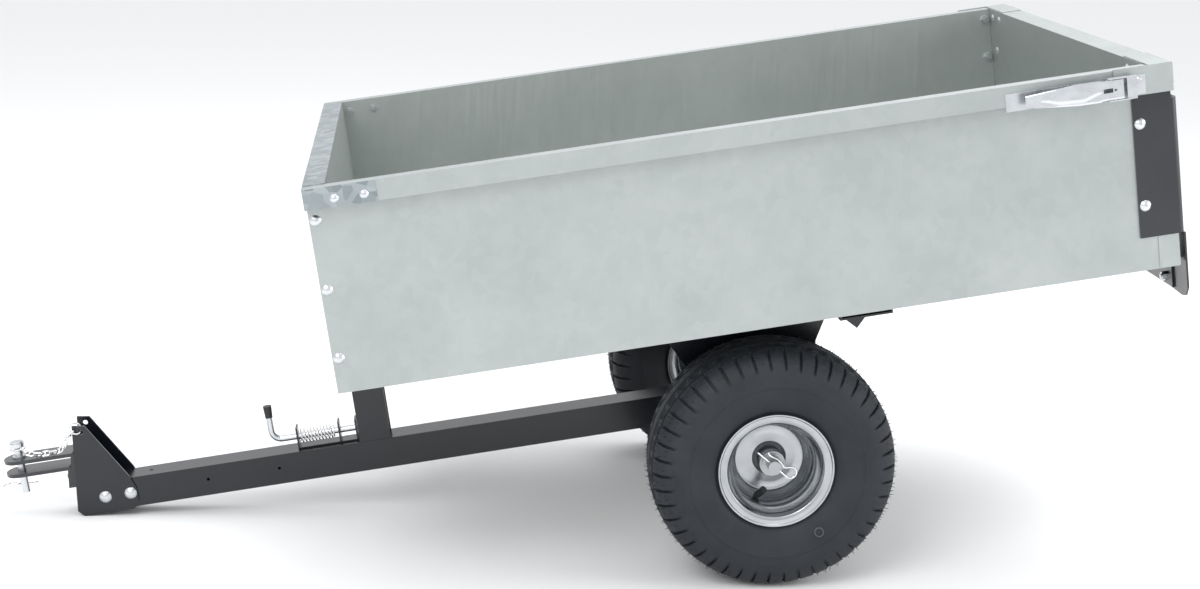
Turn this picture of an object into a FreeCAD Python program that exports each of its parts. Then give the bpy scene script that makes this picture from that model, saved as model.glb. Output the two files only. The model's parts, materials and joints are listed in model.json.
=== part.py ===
import FreeCAD, Part
import math
import os
import re

import Sketcher
from FreeCAD import Placement, Rotation, Vector

# A galvanised dump cart with a steel drawbar, two pneumatic wheels and a lift-out tailgate.
# Pieces are drawn level: X runs to the rear, Y to the right, Z up, from the axle's centre.
# The parked cart then stands nose-down on its two tyres and the foot of its hitch bracket.

SIZES = {
    # bed box
    "bed_length": 1250, "bed_width": 800, "bed_height": 306, "sheet": 1.2,
    "axle_to_front": 623.5, "floor_height": 232, "rim_out": 22, "rim_drop": 30,
    "front_bolt_in": 9.5, "front_bolt_top": 50, "front_bolt_step": 102,
    "foot_flange": 25, "front_recess": 31, "tailgate_recess": 37, "slide_gap": 1.2,
    # black steel plate and its fixings
    "plate": 3, "bolt_r": 4, "bolt_head_r": 8.3, "screw_r": 3, "screw_head_r": 6.5, "hole_gap": 0.3,
    # corner strap of the front rim
    "strap_length": 102, "strap_screw_near": 42, "strap_screw_far": 84, "strap_screw_drop": 18,
    # tailgate and its corner tabs
    "tab": 1.5, "tab_gap": 0.6, "tab_length": 87, "tab_height": 42, "tab_reach": 80,
    # rear corner posts, brackets and rail
    "post_leg": 30, "leaf_length": 58, "leaf_foot": 50, "leaf_top": 298, "rear_leaf_top": 252,
    "leaf_bolt_in": 9.5, "leaf_bolt_top": 18, "leaf_bolt_mid": 86, "leaf_bolt_low": 208,
    "bend_r": 10, "rear_leaf_in": 35, "foot_drop": 52, "foot_in": 104, "rail_in": 55,
    "rail_drop": 47, "rail_leg": 76, "rail_bolt_in": 82, "rail_bolt_drop": 35,
    # brackets that carry the bed on the axle, and the brace behind them
    "bracket_out": 212, "bracket_half": 125, "bracket_knee": 182, "bracket_flange": 42,
    "bracket_toe": 22, "bracket_toe_drop": 8, "bracket_bolt_x": 95,
    "brace_front": 127, "brace_width": 81, "brace_depth": 27, "brace_half": 330, "brace_tab": 15,
    # post that rests on the tongue
    "post_front": 631, "post_length": 51, "post_width": 50, "post_flange": 20, "post_tail": 40,
    "rest_gap": 0.3,
    # axle and tongue
    "axle_r": 9.5, "axle_half": 352, "run_gap": 0.08, "tongue_size": 50, "tongue_wall": 2,
    "tongue_rise": 13, "tongue_front": 1085, "tongue_rear": 45, "spacer_r": 13,
    # wheels
    "tyre_r": 188, "tyre_half": 76, "wheel_mid": 307, "flange_r": 89, "rim_half": 61,
    "bead_r": 76.2, "well_r": 66, "rim_wall": 2.5, "disc_in": 10, "hub_r": 20, "bush_r": 13,
    "hub_out": 326, "hub_in": 216.6, "bush_length": 28, "bush_flange_r": 19, "bush_flange": 2.5,
    "washer_r": 19.5, "washer": 2.5, "side_play": 0.2, "clip_y": 343, "clip_r": 1.5,
    "valve_x": 30.5, "valve_z": 56, "valve_out": 4, "valve_r": 5.5, "valve_length": 27,
    # hitch bracket and its two straps
    "bracket_plate": 4, "bracket_foot": 1101, "bracket_head": 1084, "bracket_top": 140,
    "bracket_back": 1001, "bracket_low": 14, "bracket_chamfer": 10, "web_top": 118,
    "hitch_bolt_back": 1012, "hitch_bolt_front": 1053, "hitch_bolt_r": 5, "hitch_head_r": 10,
    "strap": 6, "strap_half": 25, "strap_high": 88, "strap_low": 66, "strap_leg_low": 36,
    "pin_x": 1182, "pin_r": 6.5, "pin_gap": 0.5, "pin_low": 34, "pin_flange_r": 11, "pin_flange": 2.5,
    "pin_head_r": 12, "pin_head": 9, "pin_top": 121, "pin_clip_z": 47,
    "chain_hole_x": 1072, "chain_hole_z": 128, "chain_hole_r": 4,
    "leg_bolt_y": 12, "leg_bolt_z": 52, "ring_r": 10, "ring_wire_r": 1.2,
    "chain_wire_r": 1.4, "chain_links": 9, "neck_ring_r": 12, "neck_ring_z": 108.5,
    # spring latch on the tongue
    "latch_z": 57, "latch_r": 5, "latch_bend_r": 16, "latch_front": 733, "latch_rear": 661,
    "latch_guide": 633,
    "ear": 3, "ear_half": 13, "ear_top": 74, "collar_x": 671, "collar_r": 10, "nose_gap": 0.5,
    "handle_x": 773, "handle_top": 104, "cap_r": 7, "cap_low": 96, "cap_top": 116,
    "spring_r": 10.6, "wire_r": 1.1, "coils": 10,
    # over-centre latches of the tailgate
    "lever_pivot_in": 83.5, "lever_pivot_out": 13, "lever_mid": 24, "lever_front_in": 222.5,
    "lever_plate": 2, "lever_high": 14, "base_front_in": 246.5, "base_rear_in": 90.5, "link_in": 96.5,
    "hook_in": 59, "keeper_in": 42.5,
}

doc = FreeCAD.newDocument("tow_behind_cart")
sheet = doc.addObject("Spreadsheet::Sheet", "Sizes")
for row, (alias, value) in enumerate(SIZES.items(), start=1):
    sheet.set("A%d" % row, alias)
    sheet.set("B%d" % row, str(value))
    sheet.setAlias("B%d" % row, alias)
doc.recompute()

NODES = []
AXES = {
    "x": Rotation(Vector(0, 1, 0), 90),
    "y": Rotation(Vector(1, 0, 0), -90),
    "z": Rotation(),
}


def size(alias):
    """A driving size, read from the spreadsheet."""
    return float(sheet.get(alias))


def link(text):
    """Write an expression's size names as references to the spreadsheet."""
    return re.sub(r"[a-z]\w*", lambda word: "Sizes." + word.group(), text)


def value(text):
    """The present value of an expression of sizes, to start a sketch or place a shape."""
    result = sheet.evalExpression(link(text))
    return float(getattr(result, "Value", result))


# ---- the parked attitude -------------------------------------------------------------------

def park_placement():
    """Turn the level cart about its axle until the hitch bracket's foot meets the ground."""
    radius = size("tyre_r")
    reach = size("bracket_foot") - size("bracket_chamfer")
    drop = size("bracket_low")
    angle = math.asin(radius / math.hypot(reach, drop)) - math.atan2(drop, reach)
    turn = Rotation(Vector(0, 1, 0), -math.degrees(angle))
    return Placement(Vector(0, 0, radius), turn)


PARK = park_placement()


def node(label, piece):
    """Give a finished sub-part its name and its parked place."""
    piece.Label = label
    piece.Placement = PARK.multiply(piece.Placement)
    NODES.append(piece)
    return piece


# ---- bound building blocks -----------------------------------------------------------------

def plate(name, xs, ys, zs):
    """A flat piece between a low and a high expression on each axis."""
    box = doc.addObject("Part::Box", name)
    for side, axis, (low, high) in zip(("Length", "Width", "Height"), "xyz", (xs, ys, zs)):
        box.setExpression(side, link("(%s) - (%s)" % (high, low)))
        box.setExpression("Placement.Base." + axis, link(low))
    return box


def rod(name, axis, at, radius, low, high):
    """A round bar along an axis, at two cross expressions, from low to high."""
    bar = doc.addObject("Part::Cylinder", name)
    bar.Placement = Placement(Vector(), AXES[axis])
    bar.setExpression("Radius", link(radius))
    bar.setExpression("Height", link("(%s) - (%s)" % (high, low)))
    places = list(at)
    places.insert("xyz".index(axis), low)
    for letter, place in zip("xyz", places):
        bar.setExpression("Placement.Base." + letter, link(place))
    return bar


def fuse(name, pieces):
    """Join pieces into one."""
    joined = doc.addObject("Part::MultiFuse", name)
    joined.Shapes = pieces
    joined.Refine = True
    return joined


def cut(name, base, tools):
    """Take tools out of a base."""
    tool = tools[0] if len(tools) == 1 else fuse(name + "_tools", tools)
    left = doc.addObject("Part::Cut", name)
    left.Base = base
    left.Tool = tool
    return left


def outline(body, name, plane, points):
    """A sketch of straight edges whose corners are bound to expressions."""
    sketch = body.newObject("Sketcher::SketchObject", name)
    origin = [part for part in body.Origin.OriginFeatures if part.Role == plane][0]
    sketch.AttachmentSupport = (origin, [""])
    sketch.MapMode = "FlatFace"
    spots = [Vector(value(across), value(up), 0) for across, up in points]
    for start, end in zip(spots, spots[1:] + spots[:1]):
        sketch.addGeometry(Part.LineSegment(start, end), False)
    for edge in range(len(spots)):
        sketch.addConstraint(Sketcher.Constraint("Coincident", edge, 2, (edge + 1) % len(spots), 1))
    for edge, (spot, pair) in enumerate(zip(spots, points)):
        for kind, number, text in zip(("DistanceX", "DistanceY"), spot, pair):
            place = sketch.addConstraint(Sketcher.Constraint(kind, -1, 1, edge, 1, number))
            sketch.setExpression("Constraints[%d]" % place, link(text))
    return sketch


def profile(name, plane, points, low, high):
    """A PartDesign pad of an outline between two stations across its plane."""
    body = doc.addObject("PartDesign::Body", name)
    sketch = outline(body, name + "_outline", plane, points)
    start = "-(%s)" % high if plane == "XZ_Plane" else low
    sketch.setExpression("AttachmentOffset.Base.z", link(start))
    pad = body.newObject("PartDesign::Pad", name + "_pad")
    pad.Profile = sketch
    pad.setExpression("Length", link("(%s) - (%s)" % (high, low)))
    return body


def turned(name, points):
    """A PartDesign revolution about the axle of an outline of (across, radius) corners."""
    body = doc.addObject("PartDesign::Body", name)
    sketch = outline(body, name + "_outline", "YZ_Plane", points)
    ring = body.newObject("PartDesign::Revolution", name + "_turn")
    ring.Profile = sketch
    ring.ReferenceAxis = (sketch, ["H_Axis"])
    ring.Angle = 360
    return body


def span(side, inner, outer):
    """A low and high pair across the cart, mirrored for the left side."""
    return (inner, outer) if side > 0 else ("-(%s)" % outer, "-(%s)" % inner)


def made(label, solids):
    """A group of solids or a bent wire, shaped by code from the sheet's sizes."""
    piece = doc.addObject("Part::Feature", label + "_shape")
    piece.Shape = solids[0] if len(solids) == 1 else Part.makeCompound(solids)
    return node(label, piece)


# ---- fasteners, clips and rings ------------------------------------------------------------

def aim(start, direction):
    """Where a shape drawn along +Z stands so that it points along a direction."""
    return Placement(start, Rotation(Vector(0, 0, 1), direction))


def bolt(start, direction, grip, radius, head_r, nut=True):
    """A domed bolt seated at start, with its nut at the end of its grip."""
    rise = head_r * 0.48
    dome_r = (head_r ** 2 + rise ** 2) / (2 * rise)
    dome = Part.makeSphere(dome_r, Vector(0, 0, dome_r - rise))
    dome = dome.common(Part.makeCylinder(head_r, rise, Vector(0, 0, -rise)))
    thick = radius * 1.6
    solids = [dome.fuse(Part.makeCylinder(radius, grip + thick + 2)).removeSplitter()]
    if nut:
        corners = [Vector(radius * 1.85, 0, grip)]
        for turn in range(1, 7):
            corners.append(Rotation(Vector(0, 0, 1), 60 * turn).multVec(corners[0]))
        nut_body = Part.Face(Part.makePolygon(corners)).extrude(Vector(0, 0, thick))
        solids.append(nut_body.cut(Part.makeCylinder(radius + 0.02, grip + thick)))
    for solid in solids:
        solid.Placement = aim(start, direction)
    return solids


def sweep(edges, radius):
    """A round wire along a path of tangent lines and arcs."""
    path = Part.Wire(edges)
    start = edges[0].Vertexes[0].Point
    tangent = edges[0].tangentAt(edges[0].FirstParameter)
    section = Part.Wire([Part.makeCircle(radius, start, tangent)])
    return path.makePipeShell([section], True, True)


def hairpin(length, loop_r, radius, centre, hug_r, tail):
    """An R-shaped clip: a straight leg along +X, a loop, and a leg that hugs a pin at centre."""
    start, end = Vector(0, 0, 0), Vector(length, 0, 0)
    back = Vector(length, 0, loop_r * 2)
    loop = Part.Arc(end, Vector(length + loop_r, 0, loop_r), back).toShape()
    shape = [(1.72, 1.15), (1.17, 0.8), (0.72, 0.9), (0, 1)]
    if tail:
        shape += [(-0.72, 0.9), (-1.25, 0.78), (-1.9, 0.98)]
    points = [back] + [Vector(centre + along * hug_r, 0, up * hug_r) for along, up in shape]
    spring_leg = Part.BSplineCurve()
    spring_leg.interpolate(Points=points)
    frame = sweep([Part.makeLine(start, end), loop], radius)
    return frame.fuse(sweep([spring_leg.toShape()], radius))


def link_solid(half, end_r, radius):
    """An oval chain link lying along X in the XY plane."""
    pieces = []
    for sign in (1, -1):
        turn = Placement(Vector(sign * half, 0, 0), Rotation(Vector(0, 0, 1), 90 - sign * 180))
        bend = Part.makeTorus(end_r, radius, Vector(), Vector(0, 0, 1), -180, 180, 180)
        bend.Placement = turn
        pieces.append(bend)
        start = Vector(-half, sign * end_r, 0)
        pieces.append(Part.makeCylinder(radius, half * 2, start, Vector(1, 0, 0)))
    return pieces[0].multiFuse(pieces[1:]).removeSplitter()


# ---- stations shared by the sub-parts ------------------------------------------------------

FRONT = "(-axle_to_front)"
REAR = "(bed_length - axle_to_front)"
PIVOT_X = "(%s - lever_pivot_in)" % REAR
LINK_X = "(%s - link_in)" % REAR
LEVER_FRONT = "(%s - lever_front_in)" % REAR
BASE_FRONT = "(%s - base_front_in)" % REAR
BASE_REAR = "(%s - base_rear_in)" % REAR
HOOK_REAR = "(%s - hook_in)" % REAR
KEEPER_REAR = "(%s - keeper_in)" % REAR
LOW = "floor_height"
FLOOR = "(floor_height + sheet)"
DECK = "(floor_height + 2 * sheet)"
TOP = "(floor_height + bed_height)"
OUT = "(bed_width / 2)"
IN = "(bed_width / 2 - sheet)"
RIM = "(bed_width / 2 + rim_out)"
GATE = "(bed_length - axle_to_front - tailgate_recess)"
TONGUE_TOP = "(tongue_rise + tongue_size / 2)"
TONGUE_LOW = "(tongue_rise - tongue_size / 2)"
HALF = "(tongue_size / 2)"
CORNER = "(bed_width / 2 + plate)"
LEAF_BACK = "(bed_length - axle_to_front + sheet + bend_r)"
HOLE = "(bolt_r + hole_gap)"

FRONT_BOLTS = [(FRONT + " + front_bolt_in", "%s - front_bolt_top - %d * front_bolt_step" % (TOP, step))
               for step in range(3)]
STRAP_SCREWS = [("%s + strap_screw_%s" % (FRONT, end), TOP + " - strap_screw_drop")
                for end in ("near", "far")]
LEAF_BOLTS = [(GATE + " - leaf_bolt_in", "%s - leaf_bolt_%s" % (TOP, place))
              for place in ("top", "mid", "low")]
BRACKET_BOLTS = [("%g * bracket_bolt_x" % end, "%g * (bracket_out - bracket_flange / 2 - 3)" % side)
                 for end in (-1, 1) for side in (-1, 1)]
POST_BOLTS = [(place, "%g * (post_width / 2 + post_flange / 2)" % side)
              for place in ("-post_front + post_length - 3.5", "-post_front + post_length + post_tail - 12")
              for side in (-1, 1)]
RAIL_BOLTS = [("%s - plate - rail_leg + 12" % LEAF_BACK, "%g * bed_width" % share)
              for share in (-0.35, -0.12, 0.12, 0.35)]
BRACE_BOLTS = [(place, "%g * brace_half" % share)
               for place in ("brace_front + 13", "brace_front + brace_width - 13")
               for share in (-0.5, 0.5)]
DECK_BOLTS = BRACKET_BOLTS + POST_BOLTS + RAIL_BOLTS + BRACE_BOLTS
SIDES = (("left", -1), ("right", 1))


def drill(name, axis, spots, low, high, radius=HOLE):
    """Bars that cut a hole at each spot."""
    return [rod("%s_%d" % (name, number), axis, spot, radius, low, high)
            for number, spot in enumerate(spots)]


def spot_vector(axis, spot, along):
    """The point at two cross expressions and a station along an axis."""
    places = list(spot)
    places.insert("xyz".index(axis), along)
    return Vector(*[value(place) for place in places])


def bolts_along(axis, sign, spots, start, grip):
    """Domed bolts and their nuts at each spot, pointing along an axis."""
    direction = Vector(*[sign if letter == axis else 0 for letter in "xyz"])
    solids = []
    for spot in spots:
        place = spot_vector(axis, spot, start)
        solids += bolt(place, direction, value(grip), size("bolt_r"), size("bolt_head_r"))
    return solids


# ---- bed box: galvanised sheet -------------------------------------------------------------

def side_panel(name, side):
    """A wall with its rim folded out and down and its foot folded in under the floor."""
    wall = plate(name + "_wall", (FRONT, REAR), span(side, IN, OUT), (LOW, TOP))
    rim = plate(name + "_rim", (FRONT, REAR), span(side, OUT, RIM), (TOP + " - sheet", TOP))
    lip = plate(name + "_lip", (FRONT, REAR), span(side, RIM + " - sheet", RIM),
                (TOP + " - rim_drop", TOP + " - sheet"))
    foot = plate(name + "_foot", (FRONT, REAR), span(side, OUT + " - foot_flange", IN), (LOW, FLOOR))
    ends = span(side, IN + " - 1", RIM + " + 1")
    wall_holes = drill(name + "_hole", "y", FRONT_BOLTS + LEAF_BOLTS,
                       *span(side, IN + " - 1", OUT + " + 1"))
    screw_holes = drill(name + "_screw", "y", STRAP_SCREWS, ends[0], ends[1], "(screw_r + hole_gap)")
    return cut(name, fuse(name + "_sheet", [wall, rim, lip, foot]), wall_holes + screw_holes)


def bed_floor():
    """The floor sheet, drilled for the steel beneath it."""
    deck = plate("deck", (FRONT, REAR), ("-" + IN, IN), (FLOOR, DECK))
    return cut("floor_cut", deck, drill("deck_hole", "z", DECK_BOLTS, LOW, DECK + " + 1"))


def front_panel():
    """The recessed front wall with flanges turned forward on all four edges."""
    face = FRONT + " + front_recess"
    fold = (FRONT, face + " - sheet")
    pieces = [
        plate("front_wall", (face + " - sheet", face), ("-" + IN, IN), (DECK, TOP)),
        plate("front_top", fold, ("-" + IN, IN), (TOP + " - sheet", TOP)),
        plate("front_foot", fold, ("-" + IN, IN), (DECK, DECK + " + sheet")),
    ]
    holes = []
    for name, side in SIDES:
        inner = IN + " - sheet"
        pieces.append(plate("front_flange_" + name, fold, span(side, inner, IN),
                            (DECK + " + sheet", TOP + " - sheet")))
        holes += drill("front_hole_" + name, "y", FRONT_BOLTS, *span(side, inner + " - 1", IN + " + 1"))
    return cut("front_cut", fuse("front_sheet", pieces), holes)


def front_top_rail():
    """The capping of the front rim, whose ends wrap back along the side rims."""
    high = TOP + " + tab"
    outer = RIM + " + tab"
    pieces = [
        plate("cap_top", (FRONT + " - tab", FRONT + " + front_recess"), ("-" + IN, IN), (TOP, high)),
        plate("cap_lip", (FRONT + " - tab", FRONT), ("-(%s)" % outer, outer), (TOP + " - rim_drop", TOP)),
    ]
    holes = []
    for name, side in SIDES:
        pieces.append(plate("cap_" + name, (FRONT, FRONT + " + strap_length"), span(side, RIM, outer),
                            (TOP + " - rim_drop", TOP)))
        holes += drill("cap_hole_" + name, "y", STRAP_SCREWS, *span(side, RIM + " - 1", outer + " + 1"),
                       radius="(screw_r + hole_gap)")
    return cut("cap_cut", fuse("cap_sheet", pieces), holes)


def rear_post(name, side):
    """The corner angle that closes a side wall behind the tailgate; it laps outside at its foot."""
    low, high = LOW + " + 1", TOP + " - rim_drop"
    lap_top = LOW + " + leaf_foot - 0.5"
    back = plate(name + "_back", (REAR, REAR + " + sheet"), span(side, OUT + " - post_leg", OUT),
                 (low, high))
    lap = plate(name + "_lap", (REAR + " - post_leg", REAR + " + sheet"), span(side, OUT, OUT + " + sheet"),
                (low, lap_top))
    return fuse(name, [back, lap])


# ---- black steel under and behind the bed --------------------------------------------------

def rear_bracket(name, side):
    """A side leaf, a rounded bend and a rear leaf that runs down into a foot."""
    inner, outer = OUT, CORNER
    high = LOW + " + rear_leaf_top"
    foot_top = LOW + " + leaf_foot"
    leaf = plate(name + "_leaf", (REAR + " + sheet - leaf_length", REAR + " + sheet"),
                 span(side, inner, outer), (foot_top, LOW + " + leaf_top"))
    bend_low = 0 if side > 0 else -90
    rings = []
    for layer, radius in (("skin", "bend_r"), ("core", "(bend_r - plate)")):
        ring = doc.addObject("Part::Cylinder", name + "_" + layer)
        ring.Angle = 90
        ring.Placement = Placement(Vector(), Rotation(Vector(0, 0, 1), bend_low))
        ring.setExpression("Radius", link(radius))
        ring.setExpression("Height", link("(%s) - (%s)" % (high, foot_top)))
        ring.setExpression("Placement.Base.x", link(REAR + " + sheet"))
        ring.setExpression("Placement.Base.y", link("%d * (%s - bend_r)" % (side, CORNER)))
        ring.setExpression("Placement.Base.z", link(foot_top))
        rings.append(ring)
    bend = cut(name + "_bend", rings[0], [rings[1]])
    corners = [
        ("%s - bend_r" % outer, high),
        ("%s - bend_r - rear_leaf_in" % outer, high),
        ("%s - bend_r - rear_leaf_in" % outer, LOW + " + 20"),
        (outer + " - foot_in", LOW + " - 2"),
        (outer + " - foot_in", LOW + " - foot_drop + 4"),
        (outer + " - 24", LOW + " - foot_drop"),
        (outer + " - 10", LOW + " - foot_drop + 3"),
        (outer, LOW + " - foot_drop + 17"),
        (outer, foot_top),
        ("%s - bend_r" % outer, foot_top),
    ]
    corners = [("%d * (%s)" % (side, across), up) for across, up in corners]
    back = profile(name + "_back", "YZ_Plane", corners, LEAF_BACK + " - plate", LEAF_BACK)
    holes = drill(name + "_hole", "y", LEAF_BOLTS, *span(side, inner + " - 1", outer + " + 1"))
    holes += drill(name + "_foot_hole", "x", rail_spots(side), LEAF_BACK + " - plate - 1",
                   LEAF_BACK + " + 1")
    return cut(name, fuse(name + "_steel", [leaf, bend, back]), holes)


def rail_spots(side):
    """Where a foot of a rear bracket is bolted to the rail."""
    return [("%d * (%s - rail_bolt_in)" % (side, CORNER), LOW + " - rail_bolt_drop")]


def rear_rail():
    """An angle across the rear, under the floor, that ties the two rear brackets together."""
    face = LEAF_BACK + " - plate"
    across = ("-(%s - rail_in)" % CORNER, "%s - rail_in" % CORNER)
    upright = plate("rail_upright", (face + " - plate", face), across, (LOW + " - rail_drop", FLOOR))
    shelf = plate("rail_shelf", (face + " - rail_leg", face + " - plate"), across,
                  (FLOOR + " - plate", FLOOR))
    holes = drill("rail_hole", "z", RAIL_BOLTS, LOW + " - 5", FLOOR + " + 1")
    for name, side in SIDES:
        holes += drill("rail_end_hole_" + name, "x", rail_spots(side), face + " - plate - 1", face + " + 1")
    return cut("rail_cut", fuse("rail_steel", [upright, shelf]), holes)


def axle_bracket(name, side):
    """A tapered web that turns on the axle, with flanges on its top and along both edges."""
    top = FLOOR + " - plate"
    toe = [("bracket_toe", "-bracket_toe_drop"), ("bracket_toe - 10", "-bracket_toe"),
           ("10 - bracket_toe", "-bracket_toe"), ("-bracket_toe", "-bracket_toe_drop")]
    corners = [("-bracket_half", "bracket_knee"), ("-bracket_half", FLOOR), ("bracket_half", FLOOR),
               ("bracket_half", "bracket_knee")] + toe
    web = profile(name + "_web", "XZ_Plane", corners, *span(side, "bracket_out - plate", "bracket_out"))
    inboard = span(side, "bracket_out - bracket_flange", "bracket_out - plate")
    pieces = [web, plate(name + "_top", ("-bracket_half", "bracket_half"), inboard, (top, FLOOR))]
    rise = "(bracket_knee + bracket_toe_drop)"
    heel = "(bracket_toe + 28 * (bracket_half - bracket_toe) / %s)" % rise
    for end in (-1, 1):
        edge = [(heel, "28 - bracket_toe_drop"), ("bracket_half", "bracket_knee"), ("bracket_half", top),
                ("bracket_half - plate", top), ("bracket_half - plate", "bracket_knee"),
                (heel + " - 1.15 * plate", "28 - bracket_toe_drop")]
        edge = [("%d * (%s)" % (end, along), up) for along, up in edge]
        label = "%s_flange_%s" % (name, "front" if end < 0 else "rear")
        pieces.append(profile(label, "XZ_Plane", edge, *inboard))
    spots = [spot for spot in BRACKET_BOLTS if value(spot[1]) * side > 0]
    holes = drill(name + "_hole", "z", spots, FLOOR + " - plate - 1", FLOOR + " + 1")
    bore = rod(name + "_bore", "y", ("0", "0"), "(axle_r + run_gap)",
               *span(side, "bracket_out - plate - 1", "bracket_out + 1"))
    return cut(name, fuse(name + "_steel", pieces), holes + [bore])


def cross_brace():
    """A channel across the floor, its lips turned in, with a small pointed tab at each end."""
    low = FLOOR + " - brace_depth"
    back = "brace_front + brace_width"
    across = ("-brace_half", "brace_half")
    shelf = (FLOOR + " - plate", FLOOR)
    pieces = [
        plate("brace_base", ("brace_front", back), across, (low, low + " + plate")),
        plate("brace_web_front", ("brace_front", "brace_front + plate"), across, (low, FLOOR)),
        plate("brace_web_rear", (back + " - plate", back), across, (low, FLOOR)),
        plate("brace_lip_front", ("brace_front + plate", "brace_front + 24"), across, shelf),
        plate("brace_lip_rear", (back + " - 24", back + " - plate"), across, shelf),
    ]
    tab = [("brace_front + 9", low), ("brace_front + 24", low + " - brace_tab"), ("brace_front + 38", low)]
    for name, side in SIDES:
        pieces.append(profile("brace_tab_" + name, "XZ_Plane", tab,
                              *span(side, "brace_half - plate", "brace_half")))
    return cut("brace_cut", fuse("brace_steel", pieces),
               drill("brace_hole", "z", BRACE_BOLTS, FLOOR + " - plate - 1", FLOOR + " + 1"))


def post():
    """The channel under the bed's front that rests on the tongue and takes the latch rod."""
    foot = TONGUE_TOP + " + rest_gap"
    front, back = "-post_front", "-post_front + post_length"
    half = "(post_width / 2)"
    low = FLOOR + " - plate"
    pieces = [
        plate("post_web", (front, front + " + plate"), ("-" + half, half), (foot, low)),
        plate("post_head", (front, FRONT), ("-" + half, half), (low, low + " + plate")),
        plate("post_top", (FRONT, back + " + post_tail"),
              ("-(%s + post_flange)" % half, half + " + post_flange"), (low, FLOOR)),
    ]
    for name, side in SIDES:
        pieces.append(plate("post_side_" + name, (front + " + plate", back),
                            span(side, half + " - plate", half),
                            (foot, low)))
    holes = drill("post_hole", "z", POST_BOLTS, low + " - 1", FLOOR + " + 1")
    holes.append(rod("post_socket", "x", ("0", "latch_z"), "(latch_r + 0.5)", front + " - 1",
                     front + " + plate + 1"))
    return cut("post_cut", fuse("post_steel", pieces), holes)


# ---- tailgate ------------------------------------------------------------------------------

GATE_BACK = REAR + " - slide_gap"
GATE_SIDE = IN + " - slide_gap"
GATE_LOW = DECK + " + 0.8"
GATE_TOP = TOP + " + 0.5"
TAB_OUT = "(bed_width / 2 + rim_out + tab_gap + tab)"
TAB_IN = "(bed_width / 2 - sheet - slide_gap - tab_reach)"


def gate_bolts(side):
    """Where a corner tab is bolted to the tailgate's face, as (across, up)."""
    spots = [(GATE_SIDE + " - 22", TOP + " - 14"), (GATE_SIDE + " - 62", TOP + " - 14"),
             (GATE_SIDE + " - 34", TOP + " - 72")]
    return [("%d * (%s)" % (side, across), up) for across, up in spots]


def tailgate():
    """A shallow pan: a face sheet with flanges turned rearward on all four edges."""
    fold = (GATE + " + sheet", GATE_BACK)
    across = ("-(%s)" % GATE_SIDE, GATE_SIDE)
    between = ("-(%s)" % TAB_IN, TAB_IN)
    pieces = [
        plate("gate_face", (GATE, GATE + " + sheet"), across, (GATE_LOW, GATE_TOP)),
        plate("gate_top", fold, between, (GATE_TOP + " - sheet", GATE_TOP)),
        plate("gate_foot", fold, across, (GATE_LOW, GATE_LOW + " + sheet")),
        plate("gate_lip", (GATE_BACK + " - sheet", GATE_BACK), between,
              (GATE_TOP + " - 20", GATE_TOP + " - sheet")),
    ]
    holes = []
    for name, side in SIDES:
        pieces.append(plate("gate_flange_" + name, fold, span(side, GATE_SIDE + " - sheet", GATE_SIDE),
                            (GATE_LOW + " + sheet", GATE_TOP)))
        holes += drill("gate_hole_" + name, "x", gate_bolts(side), GATE + " - 1", GATE + " + sheet + 1",
                       "(screw_r + hole_gap)")
    return cut("gate_cut", fuse("gate_sheet", pieces), holes)


def tailgate_tab(name, side):
    """A corner plate on the tailgate: a web behind its face, a cap, and a drop outside the rim."""
    face = GATE + " + sheet"
    reach = TAB_IN + " + 0.3"
    cap = plate(name + "_cap", (face, GATE_BACK), span(side, reach, TAB_OUT),
                (GATE_TOP, GATE_TOP + " + tab"))
    drop = plate(name + "_drop", (GATE_BACK + " - tab_length", GATE_BACK),
                 span(side, TAB_OUT + " - tab", TAB_OUT),
                 (GATE_TOP + " + tab - tab_height", GATE_TOP + " + tab"))
    web = plate(name + "_web", (face, face + " + tab"), span(side, reach, GATE_SIDE + " - sheet - 0.1"),
                (GATE_TOP + " - 90", GATE_TOP))
    holes = drill(name + "_hole", "x", gate_bolts(side), face + " - 1", face + " + tab + 1",
                  "(screw_r + hole_gap)")
    return cut(name, fuse(name + "_steel", [cap, drop, web]), holes + keeper_screw_holes(name, side))


def keeper_spot():
    """Where the keeper's screw stands, as (along, up)."""
    return [(KEEPER_REAR + " - 10", TOP + " - lever_mid + 6")]


def keeper_screw_holes(name, side):
    """The hole in a tab's drop for the keeper's screw."""
    return drill(name + "_keeper_hole", "y", keeper_spot(),
                 *span(side, TAB_OUT + " - tab - 1", TAB_OUT + " + 3"),
                 radius="(screw_r + 0.05)")


def keeper(name, side):
    """A flat plate on the tab with a square lip turned out at its front edge."""
    front = HOOK_REAR + " - 3.8"
    mid = TOP + " - lever_mid"
    tall = (mid + " - lever_high", mid + " + lever_high")
    base = plate(name + "_base", (front, KEEPER_REAR), span(side, TAB_OUT, TAB_OUT + " + 1.2"), tall)
    lip = plate(name + "_lip", (front, front + " + 1.5"),
                span(side, TAB_OUT + " + 1.2", TAB_OUT + " + 8"), tall)
    return cut(name, fuse(name + "_plate", [base, lip]), keeper_screw_holes(name, side))


# ---- over-centre latches -------------------------------------------------------------------

MID = "(%s - lever_mid)" % TOP
PIVOT = "(bed_width / 2 + rim_out + lever_pivot_out)"


def layer(low, high, sign):
    """A pair of heights on one side of the latch's middle."""
    if sign > 0:
        return "%s + %s" % (MID, low), "%s + %s" % (MID, high)
    return "%s - %s" % (MID, high), "%s - %s" % (MID, low)


def flipped(side, points):
    """Outline corners given as (along, outward), placed on one side of the cart."""
    return [(along, "%d * (%s)" % (side, out)) for along, out in points]


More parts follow.
